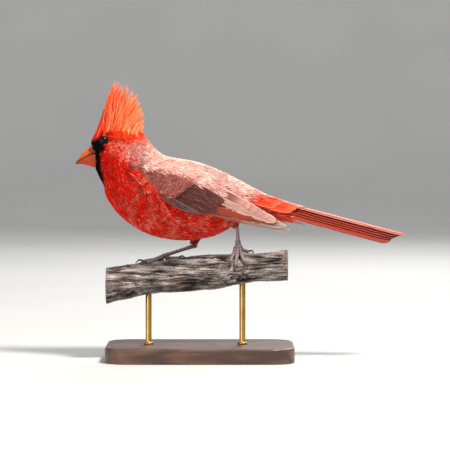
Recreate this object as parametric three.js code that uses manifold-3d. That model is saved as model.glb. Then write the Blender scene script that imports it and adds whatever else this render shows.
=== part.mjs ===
// A male northern cardinal, life size, perched on a cut length of branch that two rods carry above a base.
// Millimetres, +Z up. The bird faces -X and its left side faces -Y.
// The origin is the centre of the base's underside.
import * as THREE from "three";
import { mergeVertices } from "three/addons/utils/BufferGeometryUtils.js";
import Module from "manifold-3d";

const wasm = await Module();
wasm.setup();

const GAP = 0.34; // clear space between neighbouring pieces
const LEFT = -1; // sign of Y on the bird's left
const RIGHT = 1;
const TO_DEGREES = THREE.MathUtils.radToDeg;

// Driving sizes of the stand and the branch
const BASE = { length: 124, width: 78, height: 10, corner: 14, chamfer: 1.2 };
const ROD = { radius: 2, at: [-34, 28], sides: 20, cutFrom: 60 };
const BRANCH = {
  // x, height of the centre line and radius, from the left cut to the right cut
  stations: [
    [-62, 48.6, 11.6],
    [-37, 53.2, 10.7],
    [-20, 55.4, 10.9],
    [0, 57.4, 11.4],
    [22, 59.4, 10.3],
    [38, 60.8, 9.2],
    [58, 62.2, 9.9],
  ],
  rings: 17,
  sides: 16,
  ripple: 0.5,
};

// Driving sizes of the bird
const EYE = { x: -63.2, z: 144.6, y: 7.5, radius: 3.4 };
const LID = { radius: 2.55, tube: 0.5, out: 9.85 };
const BILL = { baseHalfWidth: 6.1, tipWidth: 0.045, taper: 1.25, rings: 8, sides: 12, mouthGap: 0.34 };
const NOSTRIL = { x: -72.2, y: 4.2, z: 138.2, half: [1, 1.1, 0.55], turn: 30 };
const CREST = {
  // from forehead to nape: where the feathers root, and where their tips reach
  roots: [[-68.9, 146.4], [-66, 150], [-61, 153], [-54.4, 154.2], [-48, 152.4], [-43, 148.8]],
  tips: [
    [-66.2, 157.8], [-62, 170.8], [-57.8, 183.2], [-53.4, 184.6], [-48, 183.2], [-42.2, 178],
    [-38.4, 171.6], [-36.8, 164.6], [-35.2, 158], [-35.4, 150.8],
  ],
  half: 2.6,
  bend: 0.8,
  tipThick: 0.4,
  coreHalf: 6,
};
const WING = { bendX: -38.9, bendZ: 125.8, tipX: 60.1, tipZ: 86.2 };
const TAIL = { rootX: 30, rootZ: 110.6, slope: 14.8, length: 109, roof: 13 };
const VANE = { thick: 0.62, rachis: 0.18, rootSink: 0.9 };

// Body outline from the side: points of the back, points of the belly and half widths, paired by station
const BODY = {
  back: [
    [-46, 155], [-40, 152], [-36, 148], [-32.5, 142.6], [-28.2, 137.9], [-22.6, 134.3], [-14.6, 132.6],
    [-4.6, 131], [6, 127.8], [15.8, 123.5], [23.8, 119.5], [30.4, 115.9], [36.3, 112.8], [42.2, 109.8],
    [49.5, 106.9], [56.8, 104.6],
  ],
  belly: [
    [-68.6, 131], [-67.6, 124], [-65.4, 119], [-63, 114.4], [-62.2, 108.6], [-59.7, 104], [-54.8, 97.4],
    [-45.6, 89.2], [-31.7, 81.9], [-13.2, 78.8], [3.4, 80.3], [16.4, 84.8], [25.2, 92.2], [33.6, 96.4],
    [44.5, 95], [54.2, 92.6],
  ],
  half: [8.6, 11, 13, 15, 17.2, 19.4, 21.2, 22.2, 22.2, 21, 18.8, 15.6, 12.4, 10.2, 8.8, 7.6],
  rings: 30,
  sides: 24,
  roundness: 2.15,
};
const HEAD = {
  back: [
    [-72.3, 140.4], [-71, 145], [-68.4, 149.9], [-64, 153.9], [-58, 156.3], [-51.4, 156.3], [-44.8, 153.6],
    [-39.6, 148.6], [-36.4, 144.4],
  ],
  belly: [
    [-69.7, 127.2], [-67.7, 124.2], [-64, 121.5], [-59.4, 120.2], [-54, 120.6], [-48, 123.2], [-43.2, 127.8],
    [-39, 133.8], [-36, 139],
  ],
  half: [6.2, 8.4, 10.3, 11.7, 12.4, 12.3, 10.9, 8, 3.6],
  rings: 14,
  sides: 20,
  roundness: 2.1,
};
// Cuts that part the body, each by two points of its line from the side
const CUTS = {
  neck: [[-66.7, 121.2], [-34.3, 145.6]],
  torso: [[-62.4, 109.3], [-26.4, 136.4]],
  tail: [[28.4, 94.8], [34.3, 113.6]],
};

// Small helpers for numbers and points
const radians = THREE.MathUtils.degToRad;
const mix = THREE.MathUtils.lerp;
const point = (x, y, z) => new THREE.Vector3(x, y, z);
let seed = 7;
function random() {
  seed = (seed * 16807) % 2147483647;
  return seed / 2147483647;
}
const spread = (amount) => (random() - 0.5) * 2 * amount;

// A smooth line through rows of numbers, read by a share from 0 to 1 of the way through the rows
function smoothRows(rows) {
  const curve = new THREE.CatmullRomCurve3(
    rows.map((row) => point(row[0], row[1] ?? 0, row[2] ?? 0)),
    false,
    "catmullrom",
    0.5,
  );
  return (share) => curve.getPoint(Math.min(Math.max(share, 0), 1));
}

function geometryOf(points, index) {
  let volume = 0;
  for (let i = 0; i < index.length; i += 3) {
    const [a, b, c] = [points[index[i]], points[index[i + 1]], points[index[i + 2]]];
    volume += a.dot(b.clone().cross(c));
  }
  const facing = volume < 0 ? index.slice().reverse() : index;
  return new THREE.BufferGeometry().setFromPoints(points).setIndex(facing);
}

// A closed skin over rings of points, with a fan over each end
function skinOver(rings) {
  const count = rings[0].length;
  const points = rings.flat();
  const index = [];
  for (let r = 0; r < rings.length - 1; r++)
    for (let i = 0; i < count; i++) {
      const [a, b] = [r * count + i, r * count + ((i + 1) % count)];
      index.push(a, b, b + count, a, b + count, a + count);
    }
  for (const [ring, turned] of [[0, false], [rings.length - 1, true]]) {
    const middle = rings[ring].reduce((sum, p) => sum.add(p), point(0, 0, 0)).divideScalar(count);
    points.push(middle);
    for (let i = 0; i < count; i++) {
      const [a, b] = [ring * count + i, ring * count + ((i + 1) % count)];
      index.push(points.length - 1, ...(turned ? [a, b] : [b, a]));
    }
  }
  return geometryOf(points, index);
}

// A thin plate between two grids of points, split into triangles alike on both faces
function plate(upper, lower) {
  const rows = upper.length;
  const cols = upper[0].length;
  const under = rows * cols;
  const at = (r, c) => r * cols + c;
  const index = [];
  const rim = [];
  for (let r = 0; r < rows - 1; r++)
    for (let c = 0; c < cols - 1; c++) {
      const [a, b, d, e] = [at(r, c), at(r, c + 1), at(r + 1, c), at(r + 1, c + 1)];
      index.push(a, b, e, a, e, d);
      index.push(under + a, under + e, under + b, under + a, under + d, under + e);
    }
  for (let c = 0; c < cols; c++) rim.push(at(0, c));
  for (let r = 1; r < rows; r++) rim.push(at(r, cols - 1));
  for (let c = cols - 2; c >= 0; c--) rim.push(at(rows - 1, c));
  for (let r = rows - 2; r > 0; r--) rim.push(at(r, 0));
  rim.forEach((p, i) => {
    const q = rim[(i + 1) % rim.length];
    index.push(q, p, under + p, q, under + p, under + q);
  });
  return geometryOf([...upper.flat(), ...lower.flat()], index);
}

// A round bar along a line of points, with a radius at each point
function barAlong(points, radii, sides) {
  const curve = new THREE.CatmullRomCurve3(points, false, "catmullrom", 0.5);
  const rings = points.length + 2;
  return skinOver(
    Array.from({ length: rings }, (_, r) => {
      const share = r / (rings - 1);
      const at = curve.getPoint(share);
      const ahead = curve.getTangent(share);
      const side = Math.abs(ahead.y) < 0.9 ? point(0, 1, 0) : point(1, 0, 0);
      const up = ahead.clone().cross(side).normalize();
      const out = up.clone().cross(ahead).normalize();
      const place = share * (points.length - 1);
      const low = Math.min(Math.floor(place), points.length - 2);
      const radius = mix(radii[low], radii[low + 1], place - low);
      return Array.from({ length: sides }, (_, i) => {
        const turn = (i / sides) * Math.PI * 2;
        return at
          .clone()
          .addScaledVector(out, Math.cos(turn) * radius)
          .addScaledVector(up, Math.sin(turn) * radius);
      });
    }),
  );
}

// Joining and cutting
function solid(geometry) {
  const bare = geometry.clone();
  bare.deleteAttribute("normal");
  bare.deleteAttribute("uv");
  const merged = mergeVertices(bare.index ? bare.toNonIndexed() : bare, 1e-4);
  return new wasm.Manifold(
    new wasm.Mesh({
      numProp: 3,
      vertProperties: new Float32Array(merged.attributes.position.array),
      triVerts: new Uint32Array(merged.index.array),
    }),
  );
}
const join = (solids) => wasm.Manifold.union(solids);
const largest = (made) =>
  made.decompose().reduce((most, piece) => (piece.volume() > most.volume() ? piece : most));

// The space that a neighbour leaves free: the solid, and copies of it moved by the gap in each direction
function roomAround(made) {
  const shifts = [1, -1].flatMap((way) => [[way, 0, 0], [0, way, 0], [0, 0, way]]);
  return join([made, ...shifts.map((shift) => made.translate(shift.map((value) => value * GAP)))]);
}

// The half of a solid on one side of a line seen from the side: side 1 keeps what lies left of the way
// from a to b
function keepSide(made, [a, b], side) {
  const ahead = new THREE.Vector2(b[0] - a[0], b[1] - a[1]).normalize();
  const normal = [-ahead.y * side, 0, ahead.x * side];
  const offset = normal[0] * a[0] + normal[2] * a[1] + GAP / 2;
  return made.trimByPlane(normal, offset);
}

function meshOf(name, made, material) {
  const mesh = made.getMesh();
  const points = [];
  for (let i = 0; i < mesh.numVert; i++)
    points.push(point(...mesh.vertProperties.subarray(i * mesh.numProp, i * mesh.numProp + 3)));
  const geometry = new THREE.BufferGeometry().setFromPoints(points).setIndex([...mesh.triVerts]);
  geometry.computeVertexNormals();
  const shown = new THREE.Mesh(geometry, material);
  shown.name = name;
  return shown;
}

// Body and head: rounded sections between the back line and the belly line
function lofted(form, grow = 0) {
  const back = smoothRows(form.back);
  const belly = smoothRows(form.belly);
  const half = smoothRows(form.half.map((value) => [value]));
  const power = 2 / form.roundness;
  return skinOver(
    Array.from({ length: form.rings }, (_, r) => {
      const share = r / (form.rings - 1);
      const [top, low] = [back(share), belly(share)];
      const middle = point((top.x + low.x) / 2, 0, (top.y + low.y) / 2);
      const rise = point((top.x - low.x) / 2, 0, (top.y - low.y) / 2);
      rise.setLength(rise.length() + grow);
      const wide = half(share).x + grow;
      return Array.from({ length: form.sides }, (_, i) => {
        const turn = (i / form.sides) * Math.PI * 2;
        const [c, s] = [Math.cos(turn), Math.sin(turn)];
        const lift = Math.sign(c) * Math.abs(c) ** power;
        const out = Math.sign(s) * Math.abs(s) ** power;
        return middle.clone().addScaledVector(rise, lift).add(point(0, out * wide, 0));
      });
    }),
  );
}

// The eye and the ring of its lids
function eyeBall(side, grow = 0) {
  return new THREE.SphereGeometry(EYE.radius + grow, 12, 9).translate(EYE.x, side * EYE.y, EYE.z);
}
function eyeLids(side) {
  return new THREE.TorusGeometry(LID.radius, LID.tube, 5, 14)
    .rotateX(Math.PI / 2)
    .translate(EYE.x, side * LID.out, EYE.z);
}

// The bill: rounded sections from the forehead to the tip, parted along the mouth
const CULMEN = [[-70.6, 141.6], [-73, 140.4], [-75.8, 138.1], [-78.6, 135], [-80.9, 131.6], [-82, 129.6]];
const KEEL = [[-67.4, 127], [-70.4, 126.9], [-73.5, 127.9], [-77, 128.8], [-80, 129], [-81.8, 128.9]];
const MOUTH = [
  [-60, 134.6], [-66.6, 135.4], [-69.4, 136.4], [-73, 135], [-76.8, 133], [-80.2, 131], [-84, 128.4],
];

function wholeBill(grow = 0) {
  const culmen = smoothRows(CULMEN);
  const keel = smoothRows(KEEL);
  return skinOver(
    Array.from({ length: BILL.rings }, (_, r) => {
      const share = r / (BILL.rings - 1);
      const [top, low] = [culmen(share), keel(share)];
      const middle = point((top.x + low.x) / 2, 0, (top.y + low.y) / 2);
      const rise = point((top.x - low.x) / 2, 0, (top.y - low.y) / 2);
      rise.setLength(rise.length() + grow);
      const wide = BILL.baseHalfWidth * Math.max(1 - share ** BILL.taper, BILL.tipWidth) + grow;
      return Array.from({ length: BILL.sides }, (_, i) => {
        const turn = (i / BILL.sides) * Math.PI * 2;
        return middle
          .clone()
          .addScaledVector(rise, Math.cos(turn))
          .add(point(0, Math.sin(turn) * wide, 0));
      });
    }),
  );
}
function mouthCut() {
  const line = new THREE.SplineCurve(MOUTH.map(([x, z]) => new THREE.Vector2(x, z))).getPoints(18);
  const upper = line.map((p) => new THREE.Vector2(p.x, p.y + BILL.mouthGap / 2));
  const lower = line.map((p) => new THREE.Vector2(p.x, p.y - BILL.mouthGap / 2)).reverse();
  return new THREE.ExtrudeGeometry(new THREE.Shape([...upper, ...lower]), { depth: 20, bevelEnabled: false })
    .translate(0, 0, -10)
    .rotateX(Math.PI / 2);
}
function nostril(side) {
  return new THREE.SphereGeometry(1, 8, 6)
    .scale(...NOSTRIL.half)
    .rotateY(radians(NOSTRIL.turn))
    .translate(NOSTRIL.x, side * NOSTRIL.y, NOSTRIL.z);
}

// Feathers. A vane is set on a chart, which turns two places on a surface and a lift above it into a point.
const VANE_ROWS = [0, 0.52, 0.86, 1];
const VANE_WIDTHS = [0.62, 1, 0.88, 0.26];
function vane(chart, { root, tip, half, lift, tipLift = lift, thick = VANE.thick, cols = 3 }) {
  const ahead = new THREE.Vector2(tip[0] - root[0], tip[1] - root[1]);
  const aside = new THREE.Vector2(-ahead.y, ahead.x).normalize();
  const upper = [];
  const lower = [];
  VANE_ROWS.forEach((share, r) => {
    const level = mix(lift, tipLift, share) - (r === 0 ? VANE.rootSink : 0);
    const depth = thick * (share > 0.95 ? 0.75 : 1);
    const [above, below] = [[], []];
    for (let c = 0; c < cols; c++) {
      const across = (c / (cols - 1)) * 2 - 1;
      const off = across * half * VANE_WIDTHS[r];
      const u = mix(root[0], tip[0], share) + aside.x * off;
      const v = mix(root[1], tip[1], share) + aside.y * off;
      above.push(chart(u, v, level + depth / 2 + (1 - Math.abs(across)) * VANE.rachis));
      below.push(chart(u, v, level - depth / 2));
    }
    upper.push(above);
    lower.push(below);
  });
  return solid(plate(upper, lower));
}

// A row of like vanes between a first and a last one, with a little seeded variety
function vaneRow(chart, { count, from, to, cols = 2 }, vary = 0.25) {
  return Array.from({ length: count }, (_, i) => {
    const share = count === 1 ? 0 : i / (count - 1);
    const pair = (key) => [mix(from[key][0], to[key][0], share), mix(from[key][1], to[key][1], share)];
    const tip = pair("tip");
    return vane(chart, {
      root: pair("root"),
      tip: [tip[0] + spread(vary * 2), tip[1] + spread(vary * 0.4)],
      half: mix(from.half, to.half, share),
      lift: mix(from.lift, to.lift, share),
      cols,
    });
  });
}

// The folded wing's chart: u runs from the bend of the wing to its tip, v up across it
const WING_LENGTH = Math.hypot(WING.tipX - WING.bendX, WING.tipZ - WING.bendZ);
const WING_ALONG = [(WING.tipX - WING.bendX) / WING_LENGTH, (WING.tipZ - WING.bendZ) / WING_LENGTH];
const WING_REACH = [21, 23, 24.4, 25.1, 25.4, 25.2, 24.3, 22.8, 20.8, 18.6, 16.4, 14];
const wingReach = smoothRows(WING_REACH.map((value) => [value]));
const WING_REACH_END = 110;
function wingDepth(u, v) {
  const share = u / WING_REACH_END;
  const middle = mix(-8, -6, share);
  const radius = mix(30.5, 26, share);
  return wingReach(share).x * Math.sqrt(Math.max(1 - ((v - middle) / radius) ** 2, 0.04));
}
const wingChart = (side) => (u, v, lift) => {
  const step = 0.5;
  const slopeU = (wingDepth(u + step, v) - wingDepth(u - step, v)) / (2 * step);
  const slopeV = (wingDepth(u, v + step) - wingDepth(u, v - step)) / (2 * step);
  const size = Math.hypot(slopeU, slopeV, 1);
  const [outU, outV] = [u - (slopeU / size) * lift, v - (slopeV / size) * lift];
  return point(
    WING.bendX + WING_ALONG[0] * outU - WING_ALONG[1] * outV,
    side * (wingDepth(u, v) + lift / size),
    WING.bendZ + WING_ALONG[1] * outU + WING_ALONG[0] * outV,
  );
};

// Tiers of the folded wing, each given by its lowest and its highest feather
const WING_TIERS = {
  primaries: {
    count: 5,
    from: { root: [44, -10.6], tip: [100, -0.6], half: 2.9, lift: -4.1 },
    to: { root: [48, -5], tip: [96, 2.2], half: 3.4, lift: -2.2 },
  },
  wingTip: {
    count: 2,
    from: { root: [60, -6.4], tip: [106.2, 0.2], half: 2.9, lift: -3.6 },
    to: { root: [60, -5], tip: [104.6, 1.2], half: 3.2, lift: -3.05 },
  },
  secondaries: {
    count: 5,
    from: { root: [38, -6.6], tip: [84, -1.2], half: 3.2, lift: -1.9 },
    to: { root: [38, -2.4], tip: [88, 1.2], half: 3.6, lift: -0.55 },
  },
  tertials: {
    count: 3,
    cols: 3,
    from: { root: [34, 3.5], tip: [94, 2.2], half: 5.2, lift: -0.1 },
    to: { root: [33, 11], tip: [71, 3.4], half: 5.4, lift: 0.9 },
  },
  primaryCoverts: {
    count: 2,
    from: { root: [20, -9.6], tip: [44, -13], half: 2.4, lift: -1.5 },
    to: { root: [22, -8], tip: [50, -11], half: 2.6, lift: -0.7 },
  },
  greaterCoverts: {
    count: 6,
    from: { root: [20, -6.4], tip: [45, -11], half: 2.9, lift: 0.1 },
    to: { root: [27, 7], tip: [58, -1.6], half: 3.9, lift: 1.7 },
  },
  medianCoverts: {
    count: 5,
    from: { root: [11, -3.4], tip: [28, -7], half: 2.8, lift: 1.25 },
    to: { root: [19, 9.4], tip: [39, 4.6], half: 3.4, lift: 2.15 },
  },
  scapulars: {
    count: 4,
    from: { root: [14, 9], tip: [36, 9.4], half: 4.4, lift: 1.9 },
    to: { root: [26, 14.6], tip: [63, 9.2], half: 5, lift: 1.3 },
  },
};

// The flesh and close coverts under the tiers, thickest at the shoulder: u, lowest v, highest v and top level
const WING_CORE = {
  rows: [
    [1, -4, 7, 0.6],
    [10, -9, 12, 1.2],
    [24, -12, 15, 1.2],
    [40, -11.6, 15, 0.3],
    [54, -9.4, 12, -0.3],
    [68, -6.6, 8.4, -0.7],
    [80, -4, 5, -1.1],
  ],
  cols: 5,
  underside: [-6.4, -3.4],
  topEdgeDrop: 1.2,
  lowEdgeRise: 0.4,
};
function wingCore(side) {
  const chart = wingChart(side);
  const { rows, cols, underside, topEdgeDrop, lowEdgeRise } = WING_CORE;
  const upper = [];
  const lower = [];
  rows.forEach(([u, low, high, level], r) => {
    const [above, below] = [[], []];
    for (let c = 0; c < cols; c++) {
      const v = mix(low, high, c / (cols - 1));
      const edge = c === 0 || c === cols - 1 ? 1 : 0;
      above.push(chart(u, v, level - edge * topEdgeDrop));
      below.push(chart(u, v, mix(...underside, r / (rows.length - 1)) + edge * lowEdgeRise));
    }
    upper.push(above);
    lower.push(below);
  });
  return solid(plate(upper, lower));
}
function wing(side, bodyRoom) {
  const tiers = Object.values(WING_TIERS).flatMap((tier) => vaneRow(wingChart(side), tier));
  return largest(join([wingCore(side), ...tiers]).subtract(bodyRoom));
}

// The tail's chart: s runs along the ridge, turn is the angle down the roof's side, lift stands out from it
const TAIL_AHEAD = [Math.cos(radians(TAIL.slope)), -Math.sin(radians(TAIL.slope))];
const tailChart = (s, turn, lift) => {
  const angle = radians(turn);
  const radius = TAIL.roof + lift;
  const drop = TAIL.roof - radius * Math.cos(angle);
  return point(
    TAIL.rootX + TAIL_AHEAD[0] * s + TAIL_AHEAD[1] * drop,
    radius * Math.sin(angle),
    TAIL.rootZ + TAIL_AHEAD[1] * s - TAIL_AHEAD[0] * drop,
  );
};
const RECTRIX = {
  width: 9.4,
  layer: 0.4,
  thick: 0.8,
  rootAt: 4,
  outerEdges: [18, 25, 32, 39, 46, 68],
  pairs: 6,
  shorter: 1.7,
};
const UPPER_COVERTS = {
  turns: [-40, -20, 0, 20, 40],
  from: 7,
  to: 39,
  shorter: 0.2,
  half: 3.6,
  lift: 0.85,
  thick: 0.9,
};
const UNDER_COVERTS = {
  across: [-4.4, 4.4, -2.2, 2.2, 0],
  from: 6,
  to: 44,
  shorter: 1.6,
  half: 3.1,
  hang: 12.8,
  thick: 1,
};

function tailFeather(side, pair) {
  const lift = -(2 * pair + (side === RIGHT ? 1 : 0)) * RECTRIX.layer;
  const wide = TO_DEGREES(RECTRIX.width / (TAIL.roof + lift));
  const middle = RECTRIX.outerEdges[pair] - wide / 2;
  const end = TAIL.length - RECTRIX.shorter * pair + spread(0.4);
  return vane(
    (s, turn, up) => tailChart(s, side * turn, up),
    { root: [RECTRIX.rootAt, middle * 0.96], tip: [end, middle], half: wide / 2, lift, thick: RECTRIX.thick },
  );
}
function tailCovert(turn, order) {
  const { from, to, shorter, half, thick } = UPPER_COVERTS;
  const lift = UPPER_COVERTS.lift + (order % 2) * 0.3;
  return vane(tailChart, {
    root: [from, turn],
    tip: [to - Math.abs(turn) * shorter, turn * 0.9],
    half: TO_DEGREES(half / TAIL.roof),
    lift,
    tipLift: lift - 1.5,
    thick,
  });
}
function tail(tailRoot) {
  const vanes = [];
  for (let pair = 0; pair < RECTRIX.pairs; pair++)
    for (const side of [LEFT, RIGHT]) vanes.push(tailFeather(side, pair));
  return join([tailRoot, ...vanes, ...UPPER_COVERTS.turns.map(tailCovert)]);
}
// Undertail coverts: a short row below the tail's root, over a filling wedge
function underCoverts() {
  const { from, to, shorter, half, thick } = UNDER_COVERTS;
  const chart = (s, across, lift) => {
    const hang = UNDER_COVERTS.hang + lift - 0.035 * across ** 2 - 0.03 * s;
    return point(
      TAIL.rootX + TAIL_AHEAD[0] * s + TAIL_AHEAD[1] * hang,
      across,
      TAIL.rootZ + TAIL_AHEAD[1] * s - TAIL_AHEAD[0] * hang,
    );
  };
  return UNDER_COVERTS.across.map((across, i) =>
    vane(chart, {
      root: [from, across * 0.9],
      tip: [to - Math.abs(across) * shorter + i, across],
      half,
      lift: -1 + i * 0.34,
      tipLift: -2.2 + i * 0.3,
      thick,
    }),
  );
}

// The crest: feathers rooted along the crown from forehead to nape, their tips along a fan above it
const CREST_ROWS = [
  { y: 0, count: 11, reach: 1 },
  { y: 1.9, count: 8, reach: 0.93 },
  { y: 3.8, count: 6, reach: 0.76 },
];
const crestRoot = smoothRows(CREST.roots);
const crestTip = smoothRows(CREST.tips);
const CREST_WIDTHS = [0.8, 1, 0.6, 0.14];

function crestFeather(share, y, reach) {
  const [from, to] = [crestRoot(share), crestTip(share)];
  const root = point(from.x, y, from.y - Math.abs(y) * 0.25);
  const tip = point(mix(from.x, to.x, reach), y * 0.5, mix(from.y, to.y, reach));
  const ahead = tip.clone().sub(root).normalize();
  const aside = point(-ahead.z, 0, ahead.x);
  const upper = [];
  const lower = [];
  VANE_ROWS.forEach((along, r) => {
    const at = root.clone().lerp(tip, along).addScaledVector(aside, Math.sin(Math.PI * along) * CREST.bend);
    const thick = along > 0.95 ? CREST.tipThick : VANE.thick;
    const pair = [-1, 1].map((way) => at.clone().addScaledVector(aside, way * CREST.half * CREST_WIDTHS[r]));
    upper.push(pair.map((p) => p.clone().add(point(0, thick / 2, 0))));
    lower.push(pair.map((p) => p.clone().add(point(0, -thick / 2, 0))));
  });
  return solid(plate(upper, lower));
}
// The dense roots under the loose feathers, a low ridge along the crown
function crestCore() {
  const rings = 7;
  return solid(
    skinOver(
      Array.from({ length: rings }, (_, r) => {
        const share = mix(0.06, 0.94, r / (rings - 1));
        const [from, to] = [crestRoot(share), crestTip(share)];
        const low = point(from.x, 0, from.y - 3);
        const rise = point(to.x - from.x, 0, to.y - from.y).multiplyScalar(0.4);
        const half = CREST.coreHalf * Math.sin(Math.PI * mix(0.2, 0.85, r / (rings - 1)));
        return [
          low.clone().add(point(0, -half, 0)),
          low.clone().addScaledVector(rise, 0.55).add(point(0, -half * 0.9, 0)),
          low.clone().addScaledVector(rise, 1.1).add(point(0, -half * 0.4, 0)),
          low.clone().addScaledVector(rise, 1.1).add(point(0, half * 0.4, 0)),
          low.clone().addScaledVector(rise, 0.55).add(point(0, half * 0.9, 0)),
          low.clone().add(point(0, half, 0)),
        ];
      }),
    ),
  );
}
function crest(headRoom) {
  const feathers = [];
  for (const row of CREST_ROWS)
    for (const side of row.y ? [LEFT, RIGHT] : [RIGHT])
      for (let i = 0; i < row.count; i++) {
        const share = i / (row.count - 1) + spread(0.02);
        feathers.push(crestFeather(share, side * row.y, row.reach * (1 + spread(0.05))));
      }
  return largest(join([crestCore(), ...feathers]).subtract(headRoom));
}

// The branch
const branchLine = smoothRows(BRANCH.stations);
function branchRadius(share, turn) {
  const grooves = Math.sin(turn * 5 + share * 9) * 0.6 + Math.sin(turn * 3 - share * 23) * 0.4;
  return branchLine(share).z + BRANCH.ripple * grooves;
}
function branch(grow = 0) {
  const rings = [];
  for (let r = 0; r < BRANCH.rings; r++) {
    const share = r / (BRANCH.rings - 1);
    const at = branchLine(share);
    const stretch = r === 0 ? -grow : r === BRANCH.rings - 1 ? grow : 0;
    rings.push(
      Array.from({ length: BRANCH.sides }, (_, i) => {
        const turn = (i / BRANCH.sides) * Math.PI * 2;
        const radius = branchRadius(share, turn) + grow;
        return point(at.x + stretch, Math.sin(turn) * radius, at.y + Math.cos(turn) * radius);
      }),
    );
  }
  return skinOver(rings);
}
// The same place at any height and turn round the branch, for the feet
function onBranch(x, turn, lift) {
  const ends = [BRANCH.stations[0][0], BRANCH.stations.at(-1)[0]];
  let share = (x - ends[0]) / (ends[1] - ends[0]);
  for (let pass = 0; pass < 6; pass++) share += (x - branchLine(share).x) / (ends[1] - ends[0]);
  const angle = radians(turn);
  const radius = branchRadius(share, angle) + lift;
  return point(x, Math.sin(angle) * radius, branchLine(share).y + Math.cos(angle) * radius);
}

// Legs and feet, with the toes' steps and claws as x, turn round the branch in degrees, and lift
const LEGS = {
  left: {
    side: LEFT,
    thigh: [point(17.5, -11, 96.5), point(24.2, -8.8, 88.8)],
    ankle: point(24.3, -8.8, 91),
    joint: point(25.1, -5.6, 78.2),
    cuff: [6.2, 2.5],
    toes: [
      { along: [[22.6, -34, 4.2], [20.9, -47, 1.9], [20.2, -62, 1.6]], claw: [19.6, -84] },
      { along: [[24.6, -36, 4.4], [23.9, -54, 1.9], [23.2, -76, 1.6]], claw: [22.8, -98] },
      { along: [[26.9, -32, 4.2], [28.2, -48, 1.9], [29.9, -66, 1.6]], claw: [31, -86] },
      { along: [[27.6, -6, 3.6], [30.2, 6, 2.3], [32.2, 14, 1.6]], claw: [36, 26] },
    ],
  },
  right: {
    side: RIGHT,
    thigh: [point(-1.5, 15.5, 86), point(-4.6, 14.2, 75.6)],
    ankle: point(-5, 14, 74),
    joint: point(-24.2, 3, 68.3),
    cuff: [6, 2.2],
    toes: [
      { along: [[-27.6, 1, 1.7], [-31.6, -12, 1.5], [-35.2, -20, 1.4]], claw: [-39.6, -25] },
      { along: [[-28.6, 15, 1.7], [-33.6, 12, 1.5], [-38, 9, 1.4]], claw: [-42.8, 7] },
      { along: [[-26.6, 26, 1.7], [-30.4, 38, 1.5], [-34, 48, 1.4]], claw: [-37.8, 56] },
      { along: [[-20.6, 20, 1.8], [-17.2, 24, 1.6], [-14, 26, 1.5]], claw: [-9.4, 27] },
    ],
  },
};
const TOE = { radii: [1.35, 1.35, 1.15, 1.0], sides: 6, knuckle: 1.75 };
const CLAW = { radii: [0.85, 0.66, 0.28], sides: 5, arch: 2.3, rest: 0.75, archAt: 0.55 };
const SHANK = { radii: [1.75, 1.2, 1.3], sides: 10, end: 0.88 };
const THIGH = { sides: 12, middle: 0.55, middleWidth: 0.45 };

function foot(leg, branchRoom) {
  const pieces = [solid(new THREE.SphereGeometry(TOE.knuckle, 8, 6).translate(...leg.joint.toArray()))];
  for (const toe of leg.toes) {
    const steps = toe.along.map(([x, turn, lift]) => onBranch(x, turn, lift));
    const [endX, endTurn] = toe.along.at(-1);
    const [archX, archTurn] = [endX, endTurn].map((from, k) => mix(from, toe.claw[k], CLAW.archAt));
    const clawTop = onBranch(archX, archTurn, CLAW.arch);
    const clawTip = onBranch(...toe.claw, CLAW.rest);
    pieces.push(
      solid(barAlong([leg.joint, ...steps], TOE.radii, TOE.sides)),
      solid(barAlong([steps.at(-1), clawTop, clawTip], CLAW.radii, CLAW.sides)),
    );
  }
  return largest(join(pieces).subtract(branchRoom));
}
// The bare shank, with its swollen ends
function shank(leg, rooms) {
  const middle = leg.ankle.clone().lerp(leg.joint, 0.5);
  const low = leg.ankle.clone().lerp(leg.joint, SHANK.end);
  const bar = solid(barAlong([leg.ankle, middle, low], SHANK.radii, SHANK.sides));
  return largest(rooms.reduce((made, room) => made.subtract(room), bar));
}
// The feathered upper leg, narrowing to the ankle
function thigh(leg, bodyRoom) {
  const [top, end] = leg.thigh;
  const middle = top.clone().lerp(end, THIGH.middle);
  const radii = [leg.cuff[0], mix(...leg.cuff, THIGH.middleWidth), leg.cuff[1]];
  const cone = solid(barAlong([top, middle, end], radii, THIGH.sides));
  return largest(cone.subtract(bodyRoom));
}

// The stand
function base() {
  const [x, y] = [BASE.length / 2 - BASE.chamfer, BASE.width / 2 - BASE.chamfer];
  const r = BASE.corner;
  const outline = new THREE.Shape()
    .moveTo(-x + r, -y)
    .lineTo(x - r, -y)
    .absarc(x - r, -y + r, r, -Math.PI / 2, 0)
    .lineTo(x, y - r)
    .absarc(x - r, y - r, r, 0, Math.PI / 2)
    .lineTo(-x + r, y)
    .absarc(-x + r, y - r, r, Math.PI / 2, Math.PI)
    .lineTo(-x, -y + r)
    .absarc(-x + r, -y + r, r, Math.PI, Math.PI * 1.5);
  return new THREE.ExtrudeGeometry(outline, {
    depth: BASE.height - 2 * BASE.chamfer,
    bevelSize: BASE.chamfer,
    bevelThickness: BASE.chamfer,
    bevelSegments: 1,
    curveSegments: 4,
  }).translate(0, 0, BASE.chamfer);
}
function rod(x, branchRoom) {
  const [low, high] = [BASE.height + GAP, ROD.cutFrom];
  const bar = new THREE.CylinderGeometry(ROD.radius, ROD.radius, high - low, ROD.sides)
    .rotateX(Math.PI / 2)
    .translate(x, 0, (low + high) / 2);
  const pieces = solid(bar).subtract(branchRoom).decompose();
  const bottom = (piece) => piece.boundingBox().min[2];
  return pieces.reduce((lowest, piece) => (bottom(piece) < bottom(lowest) ? piece : lowest));
}

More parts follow.
